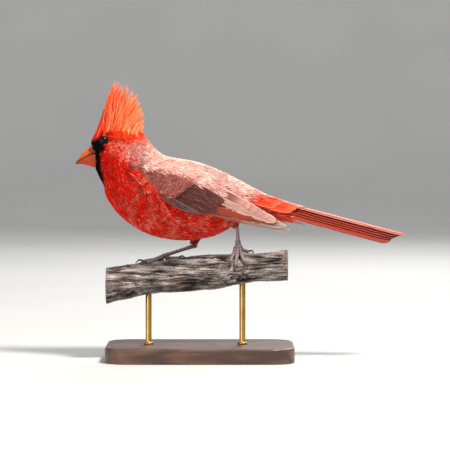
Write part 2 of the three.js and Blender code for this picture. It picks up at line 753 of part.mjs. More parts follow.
// Materials
function paint(color, roughness, metalness = 0) {
  return new THREE.MeshStandardMaterial({ color, roughness, metalness });
}
const MATERIALS = {
  body: paint(0xc8281a, 0.85),
  crest: paint(0xe2421c, 0.85),
  wing: paint(0xa8564a, 0.8),
  tail: paint(0xb23022, 0.75),
  bill: paint(0xd2601a, 0.45),
  eye: paint(0x080606, 0.06),
  leg: paint(0x5a4038, 0.6),
  bark: paint(0x6d6259, 0.95),
  base: paint(0x2b1d14, 0.4),
  rod: paint(0xb08d4a, 0.3, 1),
};

// Building: the whole body is made first, and the thin cuts then part it
const wholeBody = solid(lofted(BODY));
const wholeHead = solid(lofted(HEAD));
const bodyRoom = solid(lofted(BODY, GAP));
const headRoom = solid(lofted(HEAD, GAP));
const branchRoom = solid(branch(GAP));
const eyeRooms = join([LEFT, RIGHT].map((side) => solid(eyeBall(side, GAP))));
const bill = solid(wholeBill());
const billRoom = join([solid(wholeBill(GAP)), solid(wholeBill(GAP)).translate([GAP, 0, 0])]);

const flesh = join([wholeBody, wholeHead]);
const headEnd = keepSide(flesh, CUTS.neck, 1);
const head = largest(
  join([headEnd, ...[LEFT, RIGHT].map((side) => solid(eyeLids(side)))]).subtract(join([eyeRooms, billRoom])),
);
const neck = largest(keepSide(keepSide(flesh, CUTS.neck, -1), CUTS.torso, 1));
const torso = largest(keepSide(keepSide(wholeBody, CUTS.torso, -1), CUTS.tail, 1));
const tailRoot = keepSide(wholeBody, CUTS.tail, -1);
const tailWhole = largest(keepSide(join([tail(tailRoot), ...underCoverts()]), CUTS.tail, -1));
const bothRoom = join([bodyRoom, headRoom]);
const wings = { left: wing(LEFT, bothRoom), right: wing(RIGHT, bothRoom) };
const billParts = bill
  .subtract(join([solid(mouthCut()), ...[LEFT, RIGHT].map((side) => solid(nostril(side)))]))
  .decompose()
  .sort((a, b) => b.volume() - a.volume())
  .slice(0, 2)
  .sort((a, b) => b.boundingBox().max[2] - a.boundingBox().max[2]);

const cardinal = new THREE.Group();
cardinal.add(
  meshOf("head", head, MATERIALS.body),
  meshOf("crest", crest(bothRoom), MATERIALS.crest),
  meshOf("neck", neck, MATERIALS.body),
  meshOf("torso", torso, MATERIALS.body),
  meshOf("tail", tailWhole, MATERIALS.tail),
  meshOf("bill_upper", billParts[0], MATERIALS.bill),
  meshOf("bill_lower", billParts[1], MATERIALS.bill),
  meshOf("branch", solid(branch()), MATERIALS.bark),
  meshOf("stand_base", solid(base()), MATERIALS.base),
);
ROD.at.forEach((x, i) => {
  cardinal.add(meshOf(`stand_rod_${["front", "rear"][i]}`, rod(x, branchRoom), MATERIALS.rod));
});
for (const [name, leg] of Object.entries(LEGS)) {
  const footPiece = foot(leg, branchRoom);
  const thighPiece = thigh(leg, bodyRoom);
  const shankPiece = shank(leg, [bodyRoom, roomAround(thighPiece), roomAround(footPiece)]);
  cardinal.add(
    meshOf(`thigh_${name}`, thighPiece, MATERIALS.body),
    meshOf(`shank_${name}`, shankPiece, MATERIALS.leg),
    meshOf(`foot_${name}`, footPiece, MATERIALS.leg),
    meshOf(`wing_${name}`, wings[name], MATERIALS.wing),
    meshOf(`eye_${name}`, solid(eyeBall(leg.side)), MATERIALS.eye),
  );
}

export default cardinal;
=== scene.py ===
# %% [markdown]
# # A northern cardinal on a cut length of branch
# This lesson dresses the solid model of a perched male cardinal. The solids give every place and size.
# Here they get their looks: a skin, a coat of small feathers, long feathers with shafts, a horny bill,
# scaled legs, weathered bark and a small display stand. All lengths are worked out in millimetres, because
# a bird is small, and turned into metres only when a mesh is made.

# %% Load the solid model
import math

import bpy
import numpy as np
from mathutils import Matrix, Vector, noise
from mathutils.bvhtree import BVHTree


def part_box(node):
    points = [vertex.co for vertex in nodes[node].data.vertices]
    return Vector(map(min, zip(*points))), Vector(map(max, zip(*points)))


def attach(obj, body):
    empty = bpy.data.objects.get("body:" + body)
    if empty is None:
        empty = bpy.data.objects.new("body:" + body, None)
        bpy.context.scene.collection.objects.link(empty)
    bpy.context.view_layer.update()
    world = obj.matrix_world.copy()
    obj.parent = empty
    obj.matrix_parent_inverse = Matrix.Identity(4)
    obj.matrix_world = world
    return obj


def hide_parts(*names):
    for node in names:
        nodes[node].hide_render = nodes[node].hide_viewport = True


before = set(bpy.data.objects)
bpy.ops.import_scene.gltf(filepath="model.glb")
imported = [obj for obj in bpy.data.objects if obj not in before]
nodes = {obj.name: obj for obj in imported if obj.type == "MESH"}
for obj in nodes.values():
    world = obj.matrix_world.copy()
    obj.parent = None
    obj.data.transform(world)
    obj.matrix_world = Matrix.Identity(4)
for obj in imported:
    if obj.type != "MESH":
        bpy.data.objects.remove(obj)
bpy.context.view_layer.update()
MM = 0.001
draw = np.random.default_rng(11)

# %% [markdown]
# ## Writing shader maths as sums
# A finish is a net of small nodes. Clicking them together is how most people start. Writing them as
# ordinary sums is easier to read and to change, so one small class wraps an output and gives it + - * /.
# Every other node comes from one method, which sets the node's options first and its sockets second.


# %% A wrapped socket
class Wire:
    def __init__(self, tree, socket=None):
        self.tree, self.socket = tree, socket

    def node(self, kind, options=None, sockets=None, output=0):
        made = self.tree.nodes.new(kind)
        for name, value in (options or {}).items():
            if name == "stops":
                ramp = made.color_ramp.elements
                while len(ramp) < len(value):
                    ramp.new(0.5)
                for stop, (place, shade) in zip(ramp, value):
                    stop.position, stop.color = place, shade
            else:
                setattr(made, name, value)
        for name, value in (sockets or {}).items():
            if isinstance(value, Wire):
                self.tree.links.new(value.socket, made.inputs[name])
            else:
                made.inputs[name].default_value = value
        return Wire(self.tree, made.outputs[output])

    def maths(self, operation, first, second):
        return self.node("ShaderNodeMath", {"operation": operation}, {0: first, 1: second})

    def __add__(self, other):
        return self.maths("ADD", self, other)

    __radd__ = __add__

    def __sub__(self, other):
        return self.maths("SUBTRACT", self, other)

    def __rsub__(self, other):
        return self.maths("SUBTRACT", other, self)

    def __mul__(self, other):
        return self.maths("MULTIPLY", self, other)

    __rmul__ = __mul__

    def __truediv__(self, other):
        return self.maths("DIVIDE", self, other)

    def __rtruediv__(self, other):
        return self.maths("DIVIDE", other, self)

    def sine(self):
        return self.maths("SINE", self, 0.0)

    def between(self, low, high):
        sockets = {"Value": self, "From Min": low, "From Max": high}
        return self.node("ShaderNodeMapRange", {"interpolation_type": "SMOOTHSTEP"}, sockets)

    def mix(self, share, first, second, way="MIX"):
        # The colour form of the Mix node keeps its factor at 0 and its colours at 6 and 7
        options = {"data_type": "RGBA", "blend_type": way}
        return self.node("ShaderNodeMix", options, {0: share, 6: first, 7: second}, 2)

    def noise(self, scale, detail=3.0, roughness=0.55, stretch=(1, 1, 1)):
        place = self.node("ShaderNodeTexCoord", output=3)
        place = self.node("ShaderNodeMapping", {}, {"Vector": place, "Scale": stretch})
        sockets = {"Vector": place, "Scale": scale, "Detail": detail, "Roughness": roughness}
        return self.node("ShaderNodeTexNoise", {}, sockets)

    def reading(self, name, output=2):
        return self.node("ShaderNodeAttribute", {"attribute_name": name}, output=output)

    def toned(self, tone):
        """The mesh's own tint, made lighter or darker by a tone."""
        grey = self.node("ShaderNodeCombineColor", {}, {"Red": tone, "Green": tone, "Blue": tone})
        return self.mix(1.0, self.reading("tint", 0), grey, "MULTIPLY")

    def bump(self, height, strength, distance):
        sockets = {"Strength": strength, "Distance": distance, "Height": height}
        return self.node("ShaderNodeBump", {}, sockets)


def linear(red, green, blue):
    """A colour as painters' programs give it, 0 to 255, as the light that the renderer adds up."""
    shares = np.array([red, green, blue]) / 255
    return np.where(shares <= 0.04045, shares / 12.92, ((shares + 0.055) / 1.055) ** 2.4)


def opaque(red, green, blue):
    return (*linear(red, green, blue).tolist(), 1.0)


def finish_of(name, paint, **constants):
    """A material: paint(wire) returns what varies over the surface, and constants sit on the sockets."""
    made = bpy.data.materials.new(name)
    made.use_nodes = True
    surface = made.node_tree.nodes["Principled BSDF"]
    for socket, value in constants.items():
        surface.inputs[socket.replace("_", " ")].default_value = value
    for socket, value in paint(Wire(made.node_tree)).items():
        made.node_tree.links.new(value.socket, surface.inputs[socket])
    return made


# %% [markdown]
# ## Meshes from grids of points
# Thousands of feathers made one by one in a loop would take minutes. Arrays make them all at once: every
# feather has the same count of points, so one list of faces, shifted along, serves them all. A part here
# is four things: points, faces, readings for each point, such as its tint, and a flat map.


# %% Mesh helpers
def enclosed(points, faces):
    """The volume inside closed faces, negative when they face inwards."""
    total = 0.0
    for some in faces:
        for k in range(1, some.shape[1] - 1):
            a, b, c = points[some[:, 0]], points[some[:, k]], points[some[:, k + 1]]
            total += (a * np.cross(b, c)).sum() / 6
    return total


def make_piece(name, part, material, slot, *replaced):
    """A mesh object from a part in millimetres."""
    points, faces, readings, uv = part
    if enclosed(points, faces) < 0:
        faces = [some[:, ::-1] for some in faces]
    mesh = bpy.data.meshes.new(name)
    mesh.from_pydata((points * MM).tolist(), [], sum((some.tolist() for some in faces), []))
    corners = np.zeros(len(mesh.loops), np.int32)
    mesh.loops.foreach_get("vertex_index", corners)
    mesh.uv_layers.new(name="OFBake").data.foreach_set("uv", uv[corners].astype(np.float32).ravel())
    for key, values in readings.items():
        values = np.asarray(values, np.float32)
        if values.ndim == 2:
            shades = np.concatenate([values, np.ones((len(values), 1), np.float32)], axis=1)
            mesh.attributes.new(key, "FLOAT_COLOR", "POINT").data.foreach_set("color", shades.ravel())
        else:
            mesh.attributes.new(key, "FLOAT", "POINT").data.foreach_set("value", values)
    mesh.polygons.foreach_set("use_smooth", np.ones(len(mesh.polygons), bool))
    mesh.materials.append(material)
    piece = bpy.data.objects.new(name, mesh)
    bpy.context.scene.collection.objects.link(piece)
    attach(piece, "root")
    if replaced:
        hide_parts(*replaced)
    triangles = sum(len(some) * (some.shape[1] - 2) for some in faces)
    print(f"{name}: {len(points)} points, {triangles} triangles")


def tube_faces(rows, around, count=1):
    """Faces of closed tubes, each of rows rings with around points, one tube after another."""
    ring = np.arange(around)
    turned = (ring + 1) % around
    one = np.stack([ring, turned, turned + around, ring + around], axis=1)
    sides = (one[None] + (np.arange(rows - 1) * around)[:, None, None]).reshape(-1, 4)
    last = (rows - 1) * around
    fan = np.stack([np.zeros(around - 2, int), ring[2:], ring[1:-1]], axis=1)
    caps = np.concatenate([fan, fan[:, ::-1] + last])
    shift = (np.arange(count) * rows * around)[:, None, None]
    return [(sides[None] + shift).reshape(-1, 4), (caps[None] + shift).reshape(-1, 3)]


def grid_part(points, **readings):
    """A part made of one closed grid of points, ring after ring."""
    rows, around = points.shape[:2]
    flat = {}
    for key, values in readings.items():
        shape = points.shape if key == "tint" else (rows, around)
        flat[key] = np.broadcast_to(values, shape).reshape(-1, *shape[2:])
    edges = np.linspace(0.02, 0.98, rows), np.linspace(0.02, 0.98, around)
    uv = np.stack(np.meshgrid(*edges, indexing="ij"), axis=-1)
    return points.reshape(-1, 3), tube_faces(rows, around), flat, uv.reshape(-1, 2)


def merge_parts(parts):
    """Several parts as one, each with a strip of the flat map of its own."""
    points, faces, readings, uvs, start = [], [], {}, [], 0
    for index, (spots, some_faces, reading, uv) in enumerate(parts):
        faces += [some + start for some in some_faces]
        start += len(spots)
        points.append(spots)
        uvs.append((uv + [0, index]) / [1, len(parts)])
        for key, values in reading.items():
            readings.setdefault(key, []).append(values)
    readings = {key: np.concatenate(values) for key, values in readings.items()}
    return np.concatenate(points), faces, readings, np.concatenate(uvs)


# %% Helpers for curves and soft edges
def smooth_line(rows, count):
    """Points along a smooth curve through rows of numbers, evenly by their order."""
    rows = np.asarray(rows, float)
    padded = np.vstack([2 * rows[0] - rows[1], rows, 2 * rows[-1] - rows[-2]])
    place = np.linspace(0, len(rows) - 1, count)
    low = np.minimum(place.astype(int), len(rows) - 2)
    t = (place - low)[:, None]
    a, b, c, d = (padded[low + k] for k in range(4))
    return 0.5 * (2 * b + (c - a) * t + (2 * a - 5 * b + 4 * c - d) * t**2 + (3 * b - a - 3 * c + d) * t**3)


def curve_at(rows, share):
    """Points of a smooth curve in the side view, each at its share of the way."""
    line = smooth_line(rows, 400)
    return np.stack([np.interp(share, np.linspace(0, 1, 400), line[:, k]) for k in (0, 1)], axis=-1)


def unit(vectors):
    return vectors / np.maximum(np.linalg.norm(vectors, axis=-1, keepdims=True), 1e-9)


def step(values, low, high):
    """0 below low, 1 above high and a soft rise between."""
    share = np.clip((values - low) / (high - low), 0, 1)
    return share * share * (3 - 2 * share)


def circle(count):
    return np.arange(count) / count * 2 * np.pi


def layered(base, *layers):
    """A colour with others laid over it, one after another, each where its mask from 0 to 1 allows."""
    for mask, other in layers:
        mask = np.asarray(mask)[..., None]
        base = base * (1 - mask) + other * mask
    return base


def patches(points, size, seed):
    """Soft random patches, from 0 to 1, the same on every run."""
    shift = Vector((seed * 7.3, seed * 3.1, seed * 5.7))
    flat = points.reshape(-1, 3) / size
    return np.array([noise.noise(Vector(p) + shift) for p in flat]).reshape(points.shape[:-1]) * 0.5 + 0.5


# %% [markdown]
# ## A surface to lay feathers on
# Feathers hug the body, so their points are worked out on the body's surface and then lifted. A surface
# here is a grid of points, read anywhere between them, with its outward direction and how many
# millimetres one step across the grid is.


# %% A surface that can be read anywhere
class Surface:
    def __init__(self, points, wraps=False):
        self.points, self.wraps = points, wraps
        ends = np.concatenate([points[:, -1:], points, points[:, :1]], axis=1) if wraps else points
        down, over = np.gradient(ends, axis=0), np.gradient(ends, axis=1)
        if wraps:
            down, over = down[:, 1:-1], over[:, 1:-1]
        rows, cols = points.shape[:2]
        self.spans = (rows - 1, cols if wraps else cols - 1)
        self.normals = unit(np.cross(down, over))
        sizes = [np.linalg.norm(way, axis=-1) * span for way, span in zip((down, over), self.spans)]
        self.stretch = np.stack(sizes, axis=-1)

    def facing(self, way):
        """The surface with its normals turned to the side of a direction, or of one for each point."""
        self.normals *= np.sign((self.normals * way).sum())
        return self

    def facing_out(self):
        return self.facing(self.points - self.points.mean(axis=1, keepdims=True))

    def read(self, grid, place):
        rows, cols = self.spans
        a = np.clip(place[..., 0], 0, 1) * rows
        b = (place[..., 1] % 1 if self.wraps else np.clip(place[..., 1], 0, 1)) * cols
        low_a = np.minimum(a.astype(int), rows - 1)
        low_b = b.astype(int) % cols if self.wraps else np.minimum(b.astype(int), cols - 1)
        high_b = (low_b + 1) % grid.shape[1]
        ta = (a - low_a)[..., None]
        tb = (b - (np.floor(b) if self.wraps else low_b))[..., None]
        top = grid[low_a, low_b] * (1 - tb) + grid[low_a, high_b] * tb
        low = grid[low_a + 1, low_b] * (1 - tb) + grid[low_a + 1, high_b] * tb
        return top * (1 - ta) + low * ta

    def at(self, place, height=0.0):
        lifted = np.asarray(height)[..., None] * unit(self.read(self.normals, place))
        return self.read(self.points, place) + lifted

    def travel(self, place, ahead, aside):
        """The step on the grid for millimetres ahead and aside."""
        return np.stack([ahead, aside], axis=-1) / self.read(self.stretch, place)

    def middles(self, roots, lengths):
        """Where the middles of feathers lie, which decide their colours."""
        return self.at(roots + self.travel(roots, lengths * 0.5, lengths * 0))


# %% [markdown]
# ## The body's surface, measured from the solids
# Each section is a slice across the bird, from a point of its back to a point of its belly, and the
# slices turn with the body from the face to the root of the tail. Rays shot inwards in each slice find
# the solids, so the skin follows them exactly. Copying the numbers would work too, but would drift if
# the solids were changed.

# %% Measure the body
SLICES = [
    # x and z of the back, then x and z of the belly
    (-72.2, 140.8, -69.2, 126.8), (-70.9, 145.8, -67.4, 123.0), (-68.2, 150.4, -66.0, 119.6),
    (-63.6, 154.2, -64.8, 116.4), (-57.5, 156.4, -63.6, 112.8), (-51.0, 156.2, -62.6, 109.2),
    (-44.8, 153.6, -61.2, 105.6), (-39.4, 148.8, -59.0, 101.6), (-34.5, 143.6, -55.4, 97.0),
    (-29.0, 138.4, -49.6, 91.8), (-22.6, 134.3, -41.8, 86.4), (-14.6, 132.6, -31.7, 81.9),
    (-4.6, 131.0, -18.0, 79.4), (6.0, 127.8, -3.0, 79.6), (15.8, 123.5, 10.0, 82.4),
    (23.8, 119.5, 19.5, 87.4), (30.4, 115.9, 27.0, 93.4), (36.3, 112.8, 33.6, 95.4),
    (43.0, 109.6, 41.0, 95.0), (50.0, 106.9, 48.6, 93.6), (60.0, 103.6, 58.4, 91.4),
    (72.0, 100.2, 70.2, 88.6), (86.0, 96.4, 84.2, 85.4),
]
ROWS, AROUND = 240, 144


def tree_of(*names):
    points, faces = [], []
    for name in names:
        mesh = nodes[name].data
        start = len(points)
        points += [vertex.co / MM for vertex in mesh.vertices]
        faces += [[start + corner for corner in face.vertices] for face in mesh.polygons]
    return BVHTree.FromPolygons(points, faces)


def measure_body():
    flesh = tree_of("head", "neck", "torso", "tail")
    line = smooth_line(SLICES, ROWS)
    back, belly = (np.stack([line[:, k], np.zeros(ROWS), line[:, k + 1]], axis=1) for k in (0, 2))
    middle, rise = (back + belly) / 2, unit(back - belly)
    half = np.linalg.norm(back - belly, axis=1) / 2
    turns = circle(AROUND)[None, :, None]
    out = rise[:, None] * np.cos(turns) + np.array([0, 1, 0]) * np.sin(turns)
    far = half + 14
    reach = np.zeros((ROWS, AROUND))
    for r, c in np.ndindex(ROWS, AROUND):
        start = Vector(middle[r] + out[r, c] * far[r])
        hit = flesh.ray_cast(start, Vector(-out[r, c]), far[r])[0]
        reach[r, c] = far[r] - (hit - start).length if hit else half[r]
    stacked = np.stack([np.roll(reach, k, axis=0) for k in (-2, -1, 0, 1, 2)])
    reach[2:-2] = np.median(stacked, axis=0)[2:-2]
    for _ in range(3):
        reach[1:-1] = (reach[:-2] + 2 * reach[1:-1] + reach[2:]) / 4
        reach = (np.roll(reach, 1, axis=1) + 2 * reach + np.roll(reach, -1, axis=1)) / 4
    return Surface(middle[:, None] + out * reach[..., None], wraps=True).facing_out()


def along_and_back(place):
    """How far along the body a place lies, and how far from the middle of the back, both from 0 to 1."""
    turn = place[..., 1] % 1
    return place[..., 0], np.minimum(turn, 1 - turn) * 2


body = measure_body()
print("body", body.points.reshape(-1, 3).min(0).round(1), body.points.reshape(-1, 3).max(0).round(1))

# %% [markdown]
# ## Where each colour lies
# The markings belong to the place, not to the single feather: the skin and the coat ask the same function.
# It starts from red, and each marking is a soft-edged area, given by its distance to a line seen from the
# side, or by its place along the body and round it.

# %% The plumage's colours
RED, DEEP_RED, ORANGE_RED = linear(222, 34, 16), linear(160, 6, 4), linear(248, 74, 26)
# The pale fringe pink is the feathers' pale edges made near-white with painted sunlight
SUNLIT_FRINGE_PINK, MANTLE_PINK, MANTLE_SHADE = linear(255, 206, 192), linear(228, 168, 154), linear(150, 92, 82)
# The wing core's dull brown is painted shade, seen between the wing's feathers
MASK_BLACK, CORE_SHADE_BROWN = linear(12, 11, 12), linear(104, 62, 56)
MASK_LINES = [
    # from, to, reach: the patch before the eye, the ring round it, the band behind the bill and the bib
    ((-71.6, 141.6), (-66.0, 143.4), 2.0),
    ((-63.2, 144.3), (-63.3, 144.6), 3.3),
    ((-68.6, 141.0), (-65.6, 139.2), 2.5),
    ((-67.8, 138.0), (-67.2, 128.6), 1.8),
    ((-68.6, 127.6), (-65.4, 120.2), 2.3),
    ((-65.8, 119.8), (-63.6, 114.0), 1.3),
]
CROWN_LINE = (-71, 147), (-43, 151)
FOREHEAD_LINE = (-71, 146), (-60, 150.5)
BROW_LINE = (-58.5, 144.8), (-46, 145.6)
EAR_LINE = (-56.5, 140.5), (-48, 136)
NAPE_EDGE = np.array([-52.5, 144.0]), np.array([17.0, -23.0])
# Where the horn of the bill ends on the side of the face, from below: height, then place along the bird
BILL_EDGE = (
    [123.5, 126.6, 130.0, 136.0, 138.0, 140.5, 142.8, 144.0],
    [-73.0, -68.6, -68.4, -68.9, -69.4, -70.6, -72.0, -76.0],
)


def near(x, z, ends, inner, outer):
    """1 nearer than inner to a line seen from the side, and 0 beyond outer."""
    start, way = np.array(ends[0]), np.array(ends[1]) - ends[0]
    share = np.clip(((x - start[0]) * way[0] + (z - start[1]) * way[1]) / (way @ way), 0, 1)
    return 1 - step(np.hypot(x - start[0] - share * way[0], z - start[1] - share * way[1]), inner, outer)


def black_mask(x, z):
    mask = np.zeros(x.shape)
    for start, end, reach in MASK_LINES:
        mask = np.maximum(mask, near(x, z, (start, end), reach - 0.5, reach + 0.5))
    return mask


def behind_bill(points):
    """How far a place lies behind the edge where the face's feathers begin."""
    return points[..., 0] - np.interp(points[..., 2], *BILL_EDGE)


def ear_patch(x, z):
    return near(x, z, EAR_LINE, 2.0, 6.0)


def nape_mask(x, z, place, mottle):
    """The pink of the nape and back, with an uneven edge towards the crown, the breast and the rump."""
    down, from_back = along_and_back(place)
    start, way = NAPE_EDGE
    above_edge = ((x - start[0]) * -way[1] + (z - start[1]) * way[0]) / np.hypot(*way)
    mask = step(above_edge + (mottle - 0.5) * 9, -2.5, 4.0)
    uneven = (mottle - 0.5) * 3
    mask = mask * (1 - near(x, z, CROWN_LINE, 5.8 - uneven, 9.2 - uneven))
    mask = mask * step(z - 119.0 + 0.26 * (x + 34) + (mottle - 0.5) * 7, -2.5, 3.0)
    return mask * (1 - step(down, 0.7, 0.78) * step(from_back, 0.12, 0.3)) * (1 - step(down, 0.76, 0.84))


def plumage(points, place):
    """Colours at points in mm, whose place on the body's surface is given too."""
    x, z = points[..., 0], points[..., 2]
    down, from_back = along_and_back(place)
    mottle, fine = patches(points, 7.0, 1), patches(points, 2.2, 2)
    flecks = step(mottle * 0.5 + fine * 0.5, 0.46, 0.66) * step(down, 0.26, 0.42) * step(from_back, 0.3, 0.5)
    nape = nape_mask(x, z, place, mottle)
    rump = step(down, 0.69, 0.77) * (1 - nape)
    return layered(
        RED,
        (step(fine, 0.42, 0.75) * 0.6, DEEP_RED),
        (near(x, z, CROWN_LINE, 6.0, 10.0) * (0.05 + 0.85 * step(x, -64, -52)), ORANGE_RED),
        (near(x, z, FOREHEAD_LINE, 1.5, 4.5) * 0.45, DEEP_RED),
        (ear_patch(x, z) * step(fine, 0.42, 0.62) * 0.7, linear(250, 112, 70)),
        (near(x, z, BROW_LINE, 1.0, 2.6) * 0.5, linear(168, 30, 24)),
        (flecks * 0.26, linear(255, 186, 156)),
        (nape * 0.88, MANTLE_PINK),
        # Pale fringes with painted sunlight on the nape and back
        (nape * step(fine, 0.52, 0.72) * 0.6, SUNLIT_FRINGE_PINK),
        (nape * (1 - step(fine, 0.32, 0.46)) * 0.6, MANTLE_SHADE),
        (nape * (1 - step(down, 0.3, 0.44)) * 0.5, linear(192, 92, 76)),
        # Painted sunlight: near-white on the top of the back, along its middle line
        (nape * (1 - step(from_back, 0.08, 0.42)) * step(down, 0.3, 0.42) * 0.5, linear(255, 228, 216)),
        (rump * 0.75, linear(244, 66, 24)),
        (rump * step(fine, 0.5, 0.7) * 0.4, linear(255, 170, 130)),
        (black_mask(x, z), MASK_BLACK),
    )


print("markings ready: red", [round(v, 3) for v in RED])

# %% [markdown]
# ## The finish of feathers
# A feather is dull across and silky along its barbs. Its colour is worked out with its shape and kept on
# the mesh as a reading called tint, so a thousand feathers can each be a little different. The shader
# adds fine streaks, uneven roughness and a fine bump.


# %% Feather finishes
def feather_paint(streak, bump):
    def paint(wire):
        fine, coarse = wire.noise(900.0, 2.0), wire.noise(160.0)
        tone = 1.0 + (fine - 0.5) * streak + (coarse - 0.5) * streak * 0.8
        rough, normal = 0.62 + fine * 0.25, wire.bump(fine, bump, 0.0002)
        return {"Base Color": wire.toned(tone), "Roughness": rough, "Normal": normal}

    return paint


coat_finish = finish_of("soft_feather", feather_paint(0.35, 0.15), Specular_IOR_Level=0.08)
skin_finish = finish_of("skin_under_feathers", feather_paint(0.3, 0.3), Specular_IOR_Level=0.15)

# %% [markdown]
# ## The skin
# Under its coat a songbird is a small smooth body. One skin runs from the bill to the root of the tail,
# set in from the solids by the depth of the coat there: thin on the face, thick on the breast.

# %% Build the skin
SKIN_ROWS, SKIN_AROUND, SKIN_END = 170, 120, 19 / 22
EYE_PLACE = np.array([-63.2, 144.6])


def coat_depth(place):
    down, from_back = along_and_back(place)
    depth = 0.55 + 1.0 * step(down, 0.05, 0.22) + 0.75 * step(down, 0.2, 0.45) * step(from_back, 0.2, 0.7)
    return depth * (1 - 0.45 * step(down, 0.78, 0.9))


def build_skin():
    ends = np.linspace(0, SKIN_END, SKIN_ROWS), np.arange(SKIN_AROUND) / SKIN_AROUND
    place = np.stack(np.meshgrid(*ends, indexing="ij"), axis=-1)
    outside = body.at(place)
    near_eye = np.linalg.norm(outside[..., [0, 2]] - EYE_PLACE, axis=-1)
    depth = coat_depth(place) - 0.35 * (1 - step(near_eye, 3.4, 5.2))
    depth = depth + 3.0 * (1 - step(behind_bill(outside), -0.4, 0.7))
    points = body.at(place, -depth)
    # The skin takes the coat's markings, painted darker as the shade under the feathers
    part = grid_part(points, tint=plumage(points, place) * 0.65)
    make_piece("skin", part, skin_finish, "plumage_red", "head", "neck", "torso")


build_skin()

# %% [markdown]
# ## Vanes laid on a surface
# One function lays every feather, large or small. It takes where the feathers root and end, and how far
# aside and how high each of their points stands. The points of a row form a closed ring, so each feather
# is a thin solid. A small feather is a fan of narrow blades, because its barbs part at the edge.


# %% Lay vanes
def lay_vanes(surface, roots, tips, along, offsets, heights):
    """Points of many vanes, by feather, by row along it and by point of its section."""
    scale = surface.read(surface.stretch, roots)
    way = tips - roots
    aside = unit(np.stack([-way[:, 1] * scale[:, 1], way[:, 0] * scale[:, 0]], axis=1)) / scale
    ahead = roots[:, None, None] + way[:, None, None] * along[None, :, None, None]
    return surface.at(ahead + aside[:, None, None] * offsets[..., None], heights)


BLADE_ALONG = np.array([0.0, 0.4, 0.78, 1.0])
BLADE_WIDTHS = np.array([0.7, 1.0, 0.72, 0.12])
# Each blade is painted darker at its root as the shade under the coat and a little lighter at its tip as
# painted light
BLADE_ROOT_SHADE_TIP_LIGHT = np.array([0.5, 0.85, 1.05, 1.12])
BLADE_ACROSS, BLADE_RISE = np.array([-1.0, 0.0, 1.0]), np.array([0.0, 0.16, 0.0])


def fluffy_feathers(surface, tufts, blades=6, splay=0.42, lift=0.25, pale=0.08):
    """Small feathers whose barbs part into blades: tufts holds roots, turns, lengths, depths and colours."""
    roots, angles, lengths, depths, tints = tufts
    count = len(roots)
    fan = np.linspace(-1, 1, blades)[None] + draw.uniform(-0.18, 0.18, (count, blades))
    turn = angles[:, None] + fan * splay
    reach = lengths[:, None] * (1 - 0.16 * fan**2) * draw.uniform(0.88, 1.08, (count, blades))
    shift = surface.travel(roots, np.zeros(count), lengths * 0.07)[:, None] * fan[..., None]
    starts = (roots[:, None] + shift).reshape(-1, 2)
    ends = starts + surface.travel(starts, (np.cos(turn) * reach).ravel(), (np.sin(turn) * reach).ravel())
    halves = np.repeat(lengths, blades) * 0.34 / blades * draw.uniform(0.8, 1.25, count * blades)
    tip_height = draw.uniform(-0.1, 1.0, (count, 1)) * lift
    tip_height = (tip_height + draw.uniform(-0.5, 0.5, (count, blades)) * lift).ravel()
    depth = np.repeat(depths, blades)
    heights = np.stack([-depth - 0.25, -0.5 * depth, -0.12 * depth + tip_height * 0.4, tip_height], axis=1)
    offsets = (halves[:, None] * BLADE_WIDTHS)[..., None] * BLADE_ACROSS
    points = lay_vanes(surface, starts, ends, BLADE_ALONG, offsets, heights[:, :, None] + BLADE_RISE)
    tone = np.repeat(draw.uniform(0.86, 1.12, count), blades) * draw.uniform(0.66, 1.24, count * blades)
    tint = np.repeat(tints, blades, axis=0) * tone[:, None]
    pale = np.repeat(np.broadcast_to(pale, count), blades)
    # Some blades are paled to the fringe pink: pale edges with painted sunlight
    paled = (draw.random(count * blades) < pale) * (0.2 + 0.8 * pale) * (tint.max(axis=1) > 0.1)
    # Painted shade at the roots and painted light at the tips
    tint = layered(tint, (paled, SUNLIT_FRINGE_PINK))[:, None, None] * BLADE_ROOT_SHADE_TIP_LIGHT[None, :, None, None]
    tint = np.broadcast_to(tint, points.shape).reshape(-1, 3)
    patch = np.stack(np.meshgrid(BLADE_ALONG, [0.0, 0.5, 1.0], indexing="ij"), axis=-1) * 0.003
    uv = (starts[:, ::-1] % 1)[:, None, None] * 0.96 + 0.01 + patch
    faces = tube_faces(len(BLADE_ALONG), len(BLADE_ACROSS), len(starts))
    return points.reshape(-1, 3), faces, {"tint": tint}, uv.reshape(-1, 2)


def scatter(surface, crowd, end=1.0):
    """Evenly spread places on a surface, as many in each spot as crowd gives per square millimetre."""
    rows, cols = 160, 120
    down, turn = (np.arange(rows) + 0.5) / rows * end, (np.arange(cols) + 0.5) / cols
    place = np.stack(np.meshgrid(down, turn, indexing="ij"), axis=-1)
    cell = np.prod(surface.read(surface.stretch, place), axis=-1) * end / rows / cols
    amount = crowd(place) * cell
    total = int(amount.sum())
    by_row = np.concatenate([[0], np.cumsum(amount.sum(axis=1))]) / amount.sum()
    # The steps of a two-way golden ratio fill the two directions evenly
    first, second = ((0.5 + np.arange(total) * pace) % 1 for pace in (0.7548776662, 0.5698402910))
    at_row = np.interp(first, by_row, np.arange(rows + 1))
    row = np.minimum(at_row.astype(int), rows - 1)
    by_col = np.concatenate([np.zeros((rows, 1)), np.cumsum(amount, axis=1)], axis=1)
    by_col /= by_col[:, -1:]
    at_col = np.array([np.interp(s, by_col[r], np.arange(cols + 1)) for s, r in zip(second, row)])
    places = np.stack([at_row / rows * end, at_col / cols], axis=1)
    return places + surface.travel(places, draw.uniform(-0.2, 0.2, total), draw.uniform(-0.2, 0.2, total))


# %% [markdown]
# ## The coat
# Contour feathers are laid from the bill backwards, each over the root of the next. They are two
# millimetres long at the bill and nine on the flank. The coat is made in six areas, because their
# feathers fan out differently: fluffy on the face and breast, sleek on the back.

